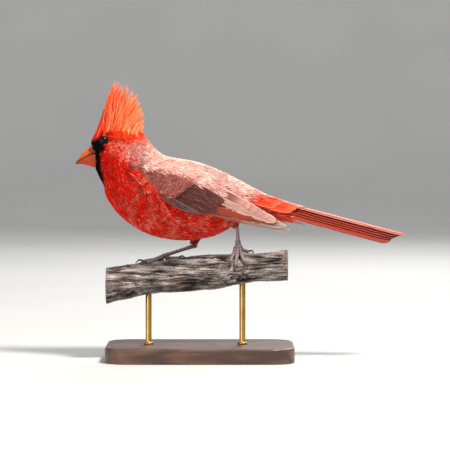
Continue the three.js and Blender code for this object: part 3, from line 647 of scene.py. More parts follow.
# %% Build the coat
COAT_END, COAT_CROWD, EYE_CLEAR = 0.875, 0.082, 2.95
COAT_AREAS = {
    # which places each part of the coat covers, and how far the blades of its feathers fan out
    "coat_face": (lambda down, low: down < 0.13, 0.42),
    "coat_head": (lambda down, low: (down >= 0.13) & (down < 0.24), 0.36),
    "coat_neck": (lambda down, low: (down >= 0.24) & (down < 0.34), 0.32),
    "coat_breast": (lambda down, low: (down >= 0.34) & (down < 0.46), 0.38),
    "coat_belly": (lambda down, low: (down >= 0.46) & low, 0.38),
    "coat_back": (lambda down, low: (down >= 0.46) & ~low, 0.2),
}


def feather_length(place):
    down, from_back = along_and_back(place)
    length = 2.0 + 1.9 * step(down, 0.03, 0.16) + 2.4 * step(down, 0.16, 0.34) + 1.9 * step(down, 0.34, 0.55)
    return length + 1.2 * step(from_back, 0.45, 0.8) * step(down, 0.4, 0.6) + 2.2 * step(down, 0.76, 0.86)


def lay_coat():
    roots = scatter(body, lambda place: 1 / (COAT_CROWD * feather_length(place) ** 2), COAT_END)
    lengths = feather_length(roots) * draw.uniform(0.85, 1.15, len(roots))
    angles = draw.normal(0, 0.1, len(roots))
    reach = body.travel(roots, lengths * np.cos(angles), lengths * np.sin(angles))
    clear = behind_bill(body.at(roots)) > -0.5
    for share in (0.0, 0.35, 0.7, 1.0):
        spot = body.at(roots + reach * share)
        clear &= np.linalg.norm(spot[:, [0, 2]] - EYE_PLACE, axis=1) > EYE_CLEAR
    roots, lengths, angles = roots[clear], lengths[clear], angles[clear]
    spots = body.middles(roots, lengths)
    tints, depths = plumage(spots, roots), coat_depth(roots)
    pale = 0.05 + 0.22 * ear_patch(spots[:, 0], spots[:, 2]) + 0.18 * step(tints[:, 1], 0.12, 0.3)
    down, from_back = along_and_back(roots)
    for name, (area, splay) in COAT_AREAS.items():
        chosen = area(down, from_back > 0.5)
        some = [values[chosen] for values in (roots, angles, lengths, depths, tints)]
        part = fluffy_feathers(body, some, splay=splay, pale=pale[chosen])
        make_piece(name, part, coat_finish, "plumage_red")


lay_coat()

# %% [markdown]
# ## Long feathers
# Flight feathers are one stiff sheet on each side of a shaft. The barbs run out from the shaft at a slant
# and hold together, except for a few splits at the edge. Each one is a thin closed solid with a raised
# shaft. Readings called barb and side tell the shader how far along the barbs and how far aside from the
# shaft a place lies.


# %% Stiff vanes
def vane_section(shaft, dome=0.2, tilt=0.1, thick=0.24):
    across = [-1, -0.86, -0.6, shaft - 0.07, shaft, shaft + 0.07, 0.3, 0.72, 0.88, 1, 0.72, 0.0, -0.72]
    across = np.array(across)
    height = dome * (1 - across**2) + tilt * across
    height[4] += 0.16
    height[10:] -= thick
    return across, height


def stiff_vanes(surface, tier, shades, rows=18, shaft=-0.3, end=0.14, bow=0.0, sink=0.9, inner_web_and_shadow_from=None):
    """Long feathers: tier holds root, tip, half width and lift; shades web, inner web and painted shadow,
    edge and tip.
    """
    roots, tips, halves, lifts = tier
    count, halves = len(roots), halves[:, None, None]
    number = np.arange(count)[:, None, None]
    section, section_height = vane_section(shaft)
    along = 1 - (1 - np.linspace(0, 1, rows)) ** 1.7
    taper = np.sqrt(np.clip(1 - np.clip((along - 1 + end) / end, 0, 1) ** 2, 0.004, 1))
    widths = ((0.6 + 0.4 * step(along, 0, 0.45)) * taper)[None, :, None]
    splits = np.where(draw.random((count, rows, 2)) < 0.1, draw.uniform(0.8, 0.95, (count, rows, 2)), 1.0)
    side_split = np.where(section < 0, splits[..., :1], splits[..., 1:])
    heights = lifts[:, None] - sink * (1 - step(along, 0, 0.35))[None] + draw.normal(0, 0.04, (count, rows))
    offsets = widths * section * side_split * halves + (np.sin(np.pi * along) * bow)[None, :, None]
    points = lay_vanes(surface, roots, tips, along, offsets, heights[:, :, None] + section_height)
    across = np.broadcast_to(section, offsets.shape)
    run = np.broadcast_to(along[None, :, None], offsets.shape)
    web, inner, edge, tip = (linear(*shade) for shade in shades)
    inner_web_and_shadow_from = shaft if inner_web_and_shadow_from is None else inner_web_and_shadow_from
    # Beyond the given place across the vane the web takes the second shade: by default the real darker inner
    # web, on the wing also painted shadow where the next feather covers it
    tint = layered(
        web,
        (step(across, inner_web_and_shadow_from, inner_web_and_shadow_from + 0.2), inner),
        (step(np.abs(across), 0.75, 0.98) * 0.85, edge),
        (step(run, 0.72, 1.0) * 0.7, tip),
    )
    shaft_line = (np.abs(across - shaft) < 0.04) & (section_height > 0)
    tint = np.where(shaft_line[..., None], tint * 0.62, tint) * draw.uniform(0.86, 1.12, (count, 1, 1, 1))
    lengths = np.linalg.norm((tips - roots) * surface.read(surface.stretch, roots), axis=1)[:, None, None]
    barb = run * lengths - np.abs(across - shaft) * halves * 0.9 + number * 37.0
    side = across * halves + number * 23.0
    cell = np.stack([(run + 0.03) / 1.06, (across * 0.47 + 0.5 + number) / count], axis=-1)
    readings = {"tint": tint.reshape(-1, 3), "barb": barb.ravel(), "side": side.ravel()}
    return points.reshape(-1, 3), tube_faces(rows, len(section), count), readings, cell.reshape(-1, 2)


def barb_paint(wire):
    def lines(name, scale, detail):
        sockets = {"W": wire.reading(name) * scale, "Detail": detail}
        return wire.node("ShaderNodeTexNoise", {"noise_dimensions": "1D"}, sockets)

    strand, hair, line = lines("barb", 1.3, 3.0), lines("barb", 6.0, 1.0), lines("side", 1.7, 3.0)
    wear = wire.noise(220.0)
    tone = 1.0 + (strand - 0.5) * 0.4 + (hair - 0.5) * 0.25 + (line - 0.5) * 0.9 + (wear - 0.5) * 0.3
    normal = wire.bump(strand + hair * 0.6, 0.35, 0.0002)
    return {"Base Color": wire.toned(tone), "Roughness": 0.5 + wear * 0.3, "Normal": normal}


barb_finish = finish_of("barbed_vane", barb_paint, Specular_IOR_Level=0.15)

# %% [markdown]
# ## The folded wing's surface
# A folded wing lies along the flank like a long curved shell. Its surface is charted flat first: u runs
# from the bend of the wing to its tip and v up across it, both in millimetres. The reach tells how far
# the shell stands out from the middle of the bird.


# %% Wing surfaces
class Chart:
    """A flat map of a surface, with the range of each of its two directions."""

    def __init__(self, first, second):
        self.low, self.high = np.array([first, second]).T

    def grid(self, *counts):
        spans = [np.linspace(*ends) for ends in zip(self.low, self.high, counts)]
        return np.meshgrid(*spans, indexing="ij")

    def place(self, first, second):
        return (np.stack([first, second], axis=-1) - self.low) / (self.high - self.low)

    def read(self, place):
        spot = self.low + place * (self.high - self.low)
        return spot[..., 0], spot[..., 1]


WING = Chart((-8.0, 112.0), (-21.0, 20.0))
BEND, WING_TIP = np.array([-38.9, 125.8]), np.array([60.1, 86.2])
WING_REACH = [21, 23, 24.4, 25.1, 25.4, 25.2, 24.3, 22.8, 20.8, 18.6, 16.4, 14]


def wing_surface(side):
    u, v = WING.grid(121, 61)
    share = np.clip(u / 110, 0, 1)
    reach = np.interp(share, np.linspace(0, 1, 300), smooth_line([[r] for r in WING_REACH], 300)[:, 0])
    hump = (v + 8 - 2 * share) / (30.5 - 4.5 * share)
    depth = reach * np.sqrt(np.maximum(1 - hump**2, 0.04))
    ahead = unit(WING_TIP - BEND)
    x, z = BEND[0] + ahead[0] * u - ahead[1] * v, BEND[1] + ahead[1] * u + ahead[0] * v
    return Surface(np.stack([x, side * depth, z], axis=-1)).facing([0, side, 0])


def row_of(count, first, last):
    """Feathers between a first and a last one, each given as root, tip, half width and lift."""
    share = np.linspace(0, 1, count)[:, None]
    root, tip = ((1 - share) * np.array(first[k]) + share * np.array(last[k]) for k in (0, 1))
    tip = tip + draw.normal(0, 0.3, tip.shape) * [1.0, 0.3]
    half, lift = (first[k] + share[:, 0] * (last[k] - first[k]) for k in (2, 3))
    return WING.place(*root.T), WING.place(*tip.T), half, lift


# %% [markdown]
# ## The tiers of the wing
# The stiff feathers lie in tiers: the long primaries and the secondaries, the broad tertials folded over
# them, and the greater coverts over the roots of all. In a closed wing each inner feather lies over the
# next outer one, so mostly outer webs are seen. A core fills the space under the tiers.

# %% Wing feathers
TIERS = [
    # count, first and last as root, tip, half width and lift, then shaft place, end and shades:
    # the wing's tip, primaries, secondaries, tertials, primary coverts, alula and greater coverts
    (3, ([58, -6.6], [106.2, 0.0], 2.4, -3.7), ([58, -4.6], [103.6, 1.6], 2.6, -3.0), -0.3, 0.22,
     ((150, 104, 92), (84, 60, 56), (232, 208, 194), (190, 168, 154))),
    (6, ([44, -10.4], [100, -0.8], 2.4, -4.1), ([48, -5], [95, 2.2], 2.7, -2.3), -0.3, 0.2,
     ((154, 62, 44), (66, 38, 34), (206, 124, 106), (140, 108, 98))),
    (9, ([38, -7.2], [83, -2.0], 2.3, -1.9), ([38, -1.6], [89, 1.6], 2.7, -0.5), -0.3, 0.12,
     ((148, 48, 30), (62, 24, 18), (196, 92, 72), (116, 58, 50))),
    (6, ([34, 1.2], [95, 1.6], 3.3, -0.4), ([35, 8], [71, 4.2], 3.6, 0.8), -0.45, 0.12,
     ((190, 128, 116), (118, 70, 62), (244, 202, 190), (200, 148, 136))),
    (6, ([18, -9.9], [43, -13], 1.9, -1.5), ([23, -7.6], [51, -10.4], 2.1, -0.7), -0.3, 0.2,
     ((84, 66, 66), (46, 38, 40), (138, 112, 108), (104, 80, 78))),
    (3, ([9, -8.0], [30, -12.2], 1.7, -0.5), ([9, -6.4], [26, -9.4], 1.9, 0.5), -0.3, 0.2,
     ((132, 60, 48), (70, 48, 46), (190, 124, 112), (132, 82, 76))),
    (12, ([20, -6.6], [49, -9.8], 1.9, 0.1), ([27, 6.6], [58.6, 0.2], 2.5, 1.5), -0.3, 0.12,
     ((124, 66, 58), (62, 30, 26), (186, 124, 112), (88, 46, 40))),
]
CORE_ROWS = [
    # u, lowest v, highest v and level
    [-1, -2.5, 5.5, -1.4], [3, -6, 8.5, 0.2], [10, -9, 9.4, 0.9], [24, -12, 9.8, 0.8],
    [40, -11.6, 9.8, -0.2], [54, -9.4, 9, -0.9], [68, -6.6, 7.4, -1.3], [80, -4, 5, -1.8],
]
CORE_COUNT, TOP_COUNT, UNDER_COUNT = 70, 26, 14
# Where the soft feathers turn from brown to the back's pink: u, then v
MANTLE_LINE = [0, 3.6, 25, 40, 55], [2.2, 3.4, 6.2, 5.2, 2.4]
BROWN, BROWN_FRINGE, BROWN_SHADE = linear(166, 92, 84), linear(188, 118, 106), linear(112, 58, 52)


def wing_core(surface):
    """The flesh and close feathers under the tiers, as a surface of its own with its top first."""
    line = smooth_line(CORE_ROWS, CORE_COUNT)
    cols = np.concatenate([np.linspace(0, 1, TOP_COUNT), np.linspace(1, 0, UNDER_COUNT + 2)[1:-1]])
    v = line[:, 1:2] + (line[:, 2:3] - line[:, 1:2]) * cols[None]
    edge = np.abs(cols * 2 - 1)[None] ** 4
    end = (1 - step(np.linspace(0, 1, CORE_COUNT), 0, 0.08))[:, None]
    below = np.linspace(-5.4, -3.6, CORE_COUNT)[:, None] + edge * 0.7 + end * 2.6
    level = np.where(np.arange(len(cols)) < TOP_COUNT, line[:, 3:4] - edge * 1.8, below)
    points = surface.at(WING.place(np.broadcast_to(line[:, :1], v.shape), v), level)
    return Surface(points, wraps=True).facing_out(), line


def wing_coat_colour(spots, u, v):
    fine, soft = patches(spots, 1.6, 5), patches(spots, 4.0, 7)
    light, dark = step(fine, 0.48, 0.72), 1 - step(fine, 0.3, 0.46)
    brown = layered(BROWN, (light * 0.7, BROWN_FRINGE), (dark * 0.5, BROWN_SHADE))
    # Pale fringes with painted sunlight on the pink of the back
    pink = layered(MANTLE_PINK, (light * 0.6, SUNLIT_FRINGE_PINK), (dark * 0.6, MANTLE_SHADE))
    red = layered(RED, (light * 0.85, linear(244, 128, 100)), (dark * 0.3, DEEP_RED))
    mantle = step(v - np.interp(u, *MANTLE_LINE) + (soft - 0.5) * 3, -1.2, 1.4)
    front = (1 - step(u + 1.9 * v + (soft - 0.5) * 5, -4.5, 0.5)) * (1 - step(v, -0.5, 2.5))
    return layered(brown, (mantle, pink), (front, red))


def lay_lesser_coverts(core, line, name):
    """The smallest feathers, close on the front of the core and round its lower edge."""
    roots = scatter(core, lambda place: 0.62 - 0.3 * step(place[..., 0], 0.15, 0.5), 0.72)
    turn, top_part = roots[:, 1] % 1, TOP_COUNT / (TOP_COUNT + UNDER_COUNT)
    shares = np.linspace(0, 1, CORE_COUNT)
    u, low, high = (np.interp(roots[:, 0], shares, line[:, k]) for k in (0, 1, 2))
    v = low + (high - low) * np.where(turn < top_part, turn / top_part, (1 - turn) / (1 - top_part))
    keep = (u < 17 - 0.35 * v) | ((turn > top_part) & (u < 14))
    roots, u, v = roots[keep], u[keep], v[keep]
    lengths = (2.4 + 2.0 * step(u, 0, 16)) * draw.uniform(0.85, 1.15, len(roots))
    tints = wing_coat_colour(core.middles(roots, lengths), u, v)
    tufts = roots, draw.normal(0, 0.12, len(roots)), lengths, np.full(len(roots), 0.5), tints
    part = fluffy_feathers(core, tufts, blades=7, splay=0.36, lift=0.35)
    make_piece(f"{name}_lesser_coverts", part, coat_finish, "plumage_wing")


def cover_surface(surface, side):
    """A surface just above the stiff feathers that bends down to the body in front, below and above."""
    u, v = WING.grid(121, 61)
    rise = 0.7 + 1.0 * step(u, 0, 14) + 0.3 * step(v, 1, 6) - 0.9 * step(u, 42, 58)
    points = surface.at(WING.place(u, v), rise)
    flank = np.zeros_like(points)
    down = np.linspace(0, 1, 200)
    for k, turn in enumerate(side * np.clip(0.17 - 0.0125 * (v[0] - 9), 0.03, 0.36)):
        line = body.at(np.stack([down, np.full(len(down), turn)], axis=-1))
        level = np.interp(points[:, k, 0], line[:, 0], down)
        flank[:, k] = body.at(np.stack([level, np.full(len(level), turn)], axis=-1), 0.4)
    share = np.maximum(step(v, 9, 17), step(u, 44, 58) * step(v, 7, 10))
    share = np.maximum(share, (1 - step(u, -6, 3)) * step(v, 4, 8))
    share = np.maximum(share, 1 - step(v, -18, -10))[..., None]
    return Surface(points * (1 - share) + flank * share).facing(surface.normals)


def lay_soft_covers(surface, side, name):
    """Scapulars, small coverts and the breast feathers over the wing's front edge."""
    cover = cover_surface(surface, side)

    def crowd(place):
        u, v = WING.read(place)
        return np.where(v > np.interp(u, *MANTLE_LINE), 0.26, 0.5)

    roots = scatter(cover, crowd, 0.5)
    u, v = WING.read(roots)
    soft = v > np.interp(u, *MANTLE_LINE) + 1.5
    edge = u + 1.9 * v
    front = (edge < -6) & (v < 1)
    lengths = np.where(soft, 8.5 + 3.0 * step(u, 5, 30), 4.2 + 2.6 * step(u, 0, 16))
    lengths = np.where(front, 7.0, lengths) * draw.uniform(0.85, 1.15, len(roots))
    keep = front & (edge > -15) & (v > -19)
    keep |= ~front & ~soft & (v > -8.5) & (u + lengths < 34.5 + 0.7 * v)
    limit = 61 - 0.5 * (v - 5) + draw.normal(0, 2, len(roots))
    keep |= ~front & soft & (v < 19) & (u > -3 - 3 * step(v, 5, 10)) & (u + lengths < limit)
    roots, lengths, u, v, front, soft = (values[keep] for values in (roots, lengths, u, v, front, soft))
    angles = draw.normal(0, 0.08, len(roots)) - np.where(soft, 0.13, 0.04)
    tints = wing_coat_colour(cover.middles(roots, lengths), u + lengths * 0.5, v)
    tufts = roots, angles, lengths, np.where(front, 3.2, 1.3), tints
    part = fluffy_feathers(cover, tufts, blades=9, splay=0.26, lift=0.4, pale=np.where(soft, 0.3, 0.08))
    make_piece(f"{name}_soft_covers", part, coat_finish, "plumage_wing")


def build_wing(side, name):
    surface = wing_surface(side)
    core, line = wing_core(surface)
    # The core is painted dull brown as the shade between the feathers
    make_piece(f"{name}_core", grid_part(core.points, tint=CORE_SHADE_BROWN), skin_finish, "plumage_wing", name)
    parts = []
    for count, first, last, shaft, end, shades in TIERS:
        tier = row_of(count, first, last)
        # On the wing the second shade starts far out, as painted shadow under the next feather
        parts.append(stiff_vanes(surface, tier, shades, 18, shaft, end, bow=-0.6, inner_web_and_shadow_from=-0.68))
    make_piece(f"{name}_vanes", merge_parts(parts), barb_finish, "plumage_wing")
    lay_lesser_coverts(core, line, name)
    lay_soft_covers(surface, side, name)


build_wing(-1, "wing_left")
build_wing(1, "wing_right")

# %% [markdown]
# ## The tail
# Twelve tail feathers stack like a closed fan with a low roof shape, the middle pair on top. The outer
# pairs lie lower and show one after another along the edge. Short coverts close the root of the tail
# above and below.

# %% Tail feathers
TAIL, UNDER_TAIL = Chart((-6.0, 112.0), (-84.0, 84.0)), Chart((-6.0, 112.0), (-9.0, 9.0))
TAIL_ROOT, TAIL_SLOPE, TAIL_ROOF, TAIL_LENGTH = (30.0, 110.6), math.radians(14.8), 13.0, 109.0
OUTER_EDGES = [18, 25, 32, 39, 46, 66]
# The middle pair's colours are painted pale as sunlight on the tail's top, the outer pairs' dark red is
# painted shade on its lower side, and the pale colours of the middle upper coverts are their grey fringes
# with painted sunlight
SUNLIT_TOP_SHADES = (218, 134, 118), (186, 92, 78), (110, 38, 28), (184, 104, 90)
SHADED_SIDE_SHADES = (130, 39, 25), (76, 22, 17), (162, 64, 46), (116, 51, 42)
BRIGHT_SHADES = (238, 62, 26), (208, 34, 10), (252, 132, 98), (242, 96, 62)
PALE_SUNLIT_SHADES = (228, 142, 124), (206, 100, 82), (248, 196, 180), (226, 140, 122)
UNDER_SHADES = (196, 62, 44), (170, 48, 34), (226, 128, 108), (206, 92, 74)


def tail_surface(s, y, drop):
    """The surface s mm down the tail, y aside and drop below its top line."""
    ahead, fall = math.cos(TAIL_SLOPE), math.sin(TAIL_SLOPE)
    x, z = TAIL_ROOT[0] + ahead * s - fall * drop, TAIL_ROOT[1] - fall * s - ahead * drop
    return Surface(np.stack([x, y, z], axis=-1))


def build_tail():
    s, turn = TAIL.grid(90, 85)
    turn = np.radians(turn)
    roof = tail_surface(s, TAIL_ROOF * np.sin(turn), TAIL_ROOF * (1 - np.cos(turn))).facing([0, 0, 1])
    s, y = UNDER_TAIL.grid(90, 41)
    under = tail_surface(s, y, 12.8 - 0.035 * y**2 - 0.03 * s).facing([0, 0, -1])
    parts = []
    for side in (-1, 1):
        for pair, outer in enumerate(OUTER_EDGES):
            lift = -(2 * pair + (side > 0)) * 0.4
            middle = side * (outer - math.degrees(9.4 / (TAIL_ROOF + lift)) / 2)
            ends = TAIL.place([4.0], [middle * 0.96]), TAIL.place([TAIL_LENGTH - 1.7 * pair], [middle])
            tier = *ends, np.array([4.7 * TAIL_ROOF / (TAIL_ROOF + lift)]), np.array([lift])
            shaft = side * 0.12 * (pair > 0) - 0.02
            # Painted sunlight on the top pair and painted shade on the outer pairs
            parts.append(stiff_vanes(roof, tier, SHADED_SIDE_SHADES if pair else SUNLIT_TOP_SHADES, 30, shaft, 0.07))
    for count, start, end, lift, half in ((9, 10.0, 41, 0.55, 3.0), (8, 4.0, 30, 1.0, 2.6)):
        turns = np.linspace(-52, 52, count)
        side = np.abs(turns)
        ends = TAIL.place(np.full(count, start), turns), TAIL.place(end - side * 0.16, turns * 0.9)
        tier = *ends, np.full(count, half), np.full(count, lift)
        # The middle upper coverts get pale fringes with painted sunlight
        for chosen, shades in ((side >= 16, BRIGHT_SHADES), (side < 16, PALE_SUNLIT_SHADES)):
            some = [values[chosen] for values in tier]
            parts.append(stiff_vanes(roof, some, shades, shaft=-0.02, end=0.3, sink=1.6))
    for count, start, end, lift in ((7, 8.0, 43, -0.9), (6, 2.0, 30, -0.2)):
        y = np.linspace(-5.4, 5.4, count)
        ends = UNDER_TAIL.place(np.full(count, start), y * 0.9), UNDER_TAIL.place(end - np.abs(y) * 1.6, y)
        tier = *ends, np.full(count, 2.6), np.full(count, lift)
        parts.append(stiff_vanes(under, tier, UNDER_SHADES, shaft=-0.02, end=0.3, sink=1.4))
    make_piece("tail_vanes", merge_parts(parts), barb_finish, "plumage_tail", "tail")


build_tail()

# %% [markdown]
# ## The crest
# Raised crest feathers are long and narrow and stick together at their tips, which makes the spiky top.
# Each plume is a bundle of fine blades from the crown to a shared tip, painted darker at its root as shade.
# The front ones are deep red, the middle ones painted yellowish as light shining through them, and the rear
# ones paled to a soft orange as painted sunlight, with painted highlights on some blades.

# %% Crest plumes
CREST_ROOTS = [[-68.9, 146.0], [-66, 149.8], [-61, 152.8], [-54.4, 154], [-48, 152.2], [-43, 148.6]]
CREST_TIPS = [
    [-66.2, 157.8], [-62, 170.8], [-57.8, 183.2], [-53.4, 184.8], [-48, 183.6],
    [-42.2, 178.8], [-38.6, 172.4], [-37.4, 165], [-36.4, 158.4], [-36.4, 151.2],
]
DOME_HALF = [6.4, 9.6, 11.8, 12.2, 11.4, 9.6]
PLUMES, BLADES, PLUME_ROWS, CLUMPS = 440, 9, 7, 15
PLUME_WIDTHS = np.array([0.6, 0.9, 1.0, 1.0, 0.85, 0.5, 0.08])
# Each blade is painted darker at its root as shade and lighter at its tip as painted light
PLUME_ROOT_SHADE_TIP_LIGHT = np.array([0.62, 0.8, 0.92, 1.0, 1.05, 1.1, 1.15])
DEEP_AT_ROOT = np.array([0.8, 0.45, 0.2, 0.08, 0, 0, 0])
# The front red is the crest's own colour; the middle and rear colours are painted light on it
CREST_FRONT, CREST_LIT_MIDDLE, CREST_LIT_REAR = linear(222, 30, 6), linear(250, 92, 34), linear(250, 132, 84)


def bars(paths, asides, halves):
    """Closed blades along paths: points by blade, row and corner."""
    tangents = unit(np.gradient(paths, axis=1))
    asides = unit(asides - (asides * tangents).sum(-1, keepdims=True) * tangents)
    ups = np.cross(tangents, asides)
    reach = (halves[:, None] * PLUME_WIDTHS)[..., None]
    return np.stack([paths - asides * reach, paths + ups * reach * 0.45, paths + asides * reach], axis=2)


def plume_ends(share, y):
    """Roots on the crown and tips of the plumes: share runs from front to rear, y from right to left."""
    clump = np.round(share * CLUMPS + draw.uniform(-0.5, 0.5, PLUMES)) / CLUMPS
    clump_reach = 1 - 0.09 * draw.random(CLUMPS + 2)
    reach = clump_reach[np.round(clump * CLUMPS).astype(int)] * (1.05 - 0.46 * np.abs(y) ** 1.5)
    is_short = draw.random(PLUMES) < 0.35
    reach = reach * np.where(is_short, draw.uniform(0.6, 0.95, PLUMES), draw.uniform(0.95, 1.02, PLUMES))
    dome = np.interp(share, np.linspace(0, 1, len(DOME_HALF)), DOME_HALF)
    at_root = curve_at(CREST_ROOTS, share)
    at_tip = curve_at(CREST_TIPS, np.clip(share * 0.35 + clump * 0.65, 0, 1))
    across = 0.84 * y
    sunk = 17.0 * (1 - np.sqrt(1 - across**2)) + 1.2
    x = at_root[:, 0] + draw.normal(0, 0.8, PLUMES)
    roots = np.stack([x, across * dome, at_root[:, 1] - sunk], axis=-1)
    ends = at_root + (at_tip - at_root) * reach[:, None]
    tips = np.stack([ends[:, 0], y * (2.0 + 0.5 * dome * np.abs(y)), ends[:, 1] - sunk * 0.55], axis=-1)
    return roots, tips


def plume_tints(rear):
    """Colours by blade and row, from how far to the rear each blade roots, with painted light, highlights and
    shade.
    """
    rear = rear[:, None]
    fore = CREST_FRONT + (CREST_LIT_MIDDLE - CREST_FRONT) * (rear / 0.5) ** 1.6
    base = np.where(rear < 0.5, fore, CREST_LIT_MIDDLE + (CREST_LIT_REAR - CREST_LIT_MIDDLE) * (rear - 0.5) / 0.5)
    # Painted highlights: a pale yellow laid over some blades
    base = layered(base, (draw.random(len(base)) ** 3 * 0.6, linear(255, 204, 150)))
    base = base * draw.uniform(0.72, 1.12, (len(base), 1))
    return layered(base[:, None] * PLUME_ROOT_SHADE_TIP_LIGHT[:, None], (DEEP_AT_ROOT, linear(214, 26, 8)))


def build_crest():
    share = (np.arange(PLUMES) + 0.5) / PLUMES
    y = draw.uniform(-1, 1, PLUMES)
    roots, tips = plume_ends(share, y)
    way = tips - roots
    t = np.linspace(0, 1, PLUME_ROWS)
    fan = np.linspace(-1, 1, BLADES)[None] + draw.normal(0, 0.12, (PLUMES, BLADES))
    broad = unit(np.stack([-way[:, 2], way[:, 0] * 0, way[:, 0]], axis=-1))
    turned = draw.uniform(-0.9, 0.9, (PLUMES, 1))
    spread = unit(broad * np.cos(turned) + np.array([0.0, 1.0, 0.0]) * np.sin(turned))[:, None, None]
    ends_at = 1 - 0.26 * np.abs(fan) ** 1.3 * draw.uniform(0.4, 1.3, fan.shape)
    swell = np.sin(np.pi * t**0.8) * 1.15 + 0.12
    paths = roots[:, None, None] + way[:, None, None] * (t[:, None] * ends_at[..., None, None])
    paths = paths + spread * (fan[..., None] * swell)[..., None]
    paths = paths - broad[:, None, None] * (np.sin(np.pi * t) * 0.9)[:, None]
    asides = np.broadcast_to(spread, paths.shape).reshape(-1, PLUME_ROWS, 3)
    paths = paths.reshape(-1, PLUME_ROWS, 3)
    points = bars(paths, asides, draw.uniform(0.16, 0.3, len(paths)))
    tints = plume_tints(np.repeat(share, BLADES))[:, :, None]
    uv = np.repeat(np.stack([share, (y + 1) / 2], axis=-1), BLADES, axis=0)[:, None, None] * 0.96 + 0.01
    uv = uv + np.stack(np.meshgrid(t, [0.0, 0.5, 1.0], indexing="ij"), axis=-1) * 0.003
    readings = {"tint": np.broadcast_to(tints, points.shape).reshape(-1, 3)}
    part = points.reshape(-1, 3), tube_faces(PLUME_ROWS, 3, len(paths)), readings, uv.reshape(-1, 2)
    make_piece("crest_plumes", part, coat_finish, "plumage_crest", "crest")


build_crest()

# %% [markdown]
# ## Eyes
# A cardinal's eye is dark brown and looks black, with a wet shine that gives it life. A thin ring of bare
# dark lid stands round it.


# %% Tubes along a line
def tube_points(path, radii, around, up=(0.0, 0.0, 1.0)):
    """Rings of points round a path; radii has one number for each ring, or one for each point."""
    path, radii = np.asarray(path, float), np.asarray(radii, float)
    tangents = unit(np.gradient(path, axis=0))
    sides = unit(np.cross(tangents, np.array(up)))
    tops = np.cross(sides, tangents)
    turns = circle(around)[None, :, None]
    ring = tops[:, None] * np.cos(turns) + sides[:, None] * np.sin(turns)
    return path[:, None] + ring * radii.reshape(len(path), -1, 1)


def tube_part(path, radii, around, tint, up=(0.0, 0.0, 1.0)):
    return grid_part(tube_points(path, radii, around, up), tint=tint)


# %% Eyes and lids
EYE_SIDE, BALL, BALL_ROWS = 7.5, 3.4, 40
LID_WIDE, LID_HIGH, LID_SIDE, LID_ROWS = 2.55, 2.42, 9.85, 110


def eye_paint(wire):
    share, grey = wire.noise(700.0, 2.0) * 0.3, (0.4, 0.4, 0.4, 1)
    return {"Base Color": wire.mix(share, wire.reading("tint", 0), grey, "MULTIPLY")}


eye_finish = finish_of("wet_eye", eye_paint, Roughness=0.05, Specular_IOR_Level=0.19)
lid_finish = finish_of("bare_lid", feather_paint(0.5, 0.4), Specular_IOR_Level=0.15)


def build_eye(side, name):
    x, z = EYE_PLACE
    turn = np.linspace(0.02, np.pi - 0.02, BALL_ROWS)
    out = np.abs(np.cos(turn))
    iris = step(out, 0.62, 0.82) * (1 - step(out, 0.9, 0.93))
    tint = layered(linear(6, 5, 5), (iris, linear(15, 9, 7)))[:, None]
    path = np.array([x, side * EYE_SIDE, z]) + np.outer(-np.cos(turn) * BALL, [0, 1, 0])
    ball = tube_part(path, np.sin(turn) * BALL * 0.985, 56, tint)
    make_piece(name + "_ball", ball, eye_finish, "eye", name)
    turn = np.linspace(0, 2 * np.pi * 1.01, LID_ROWS)
    places = x + LID_WIDE * np.cos(turn), np.full(LID_ROWS, side * LID_SIDE), z + LID_HIGH * np.sin(turn)
    radii = 0.34 + 0.06 * np.sin(turn * 17) + 0.1 * np.cos(turn) ** 4
    lid = tube_part(np.stack(places, axis=1), radii, 14, linear(15, 13, 14), up=(0.0, side, 0.0))
    make_piece(f"lids_{name}", lid, lid_finish, "eye")


build_eye(-1, "eye_left")
build_eye(1, "eye_right")

# %% [markdown]
# ## The bill
# A seed-eater's bill is a deep cone of horn in two halves. The mouth line drops at its corner. The upper
# half has a painted highlight along its ridge, both are painted darkest along the cutting edges as the
# shade at the mouth line, and their faces towards the gap are painted dark as shade. Short black bristles
# stand over the corner of the mouth.

# %% Bill
CULMEN = [[-69.4, 142.0], [-73, 140.4], [-75.8, 138.1], [-78.6, 135], [-80.9, 131.6], [-82, 129.6]]
KEEL = [[-66.6, 127.1], [-70.4, 126.9], [-73.5, 127.9], [-77, 128.8], [-80, 129], [-81.8, 128.9]]
MOUTH = [[-60, 134.6], [-66.6, 135.4], [-69.4, 136.4], [-73, 135], [-76.8, 133], [-80.2, 131], [-84, 128.4]]
BILL_HALF_WIDTH, MOUTH_GAP = 6.1, 0.34
BILL_ROWS, HORN_POINTS, INNER_POINTS, LINING_ROWS = 46, 30, 8, 30
# The ridge colour is a painted highlight
HORN_UPPER, HORN_LOWER, HORN_RIDGE_HIGHLIGHT = linear(200, 84, 24), linear(180, 56, 3), linear(228, 138, 84)


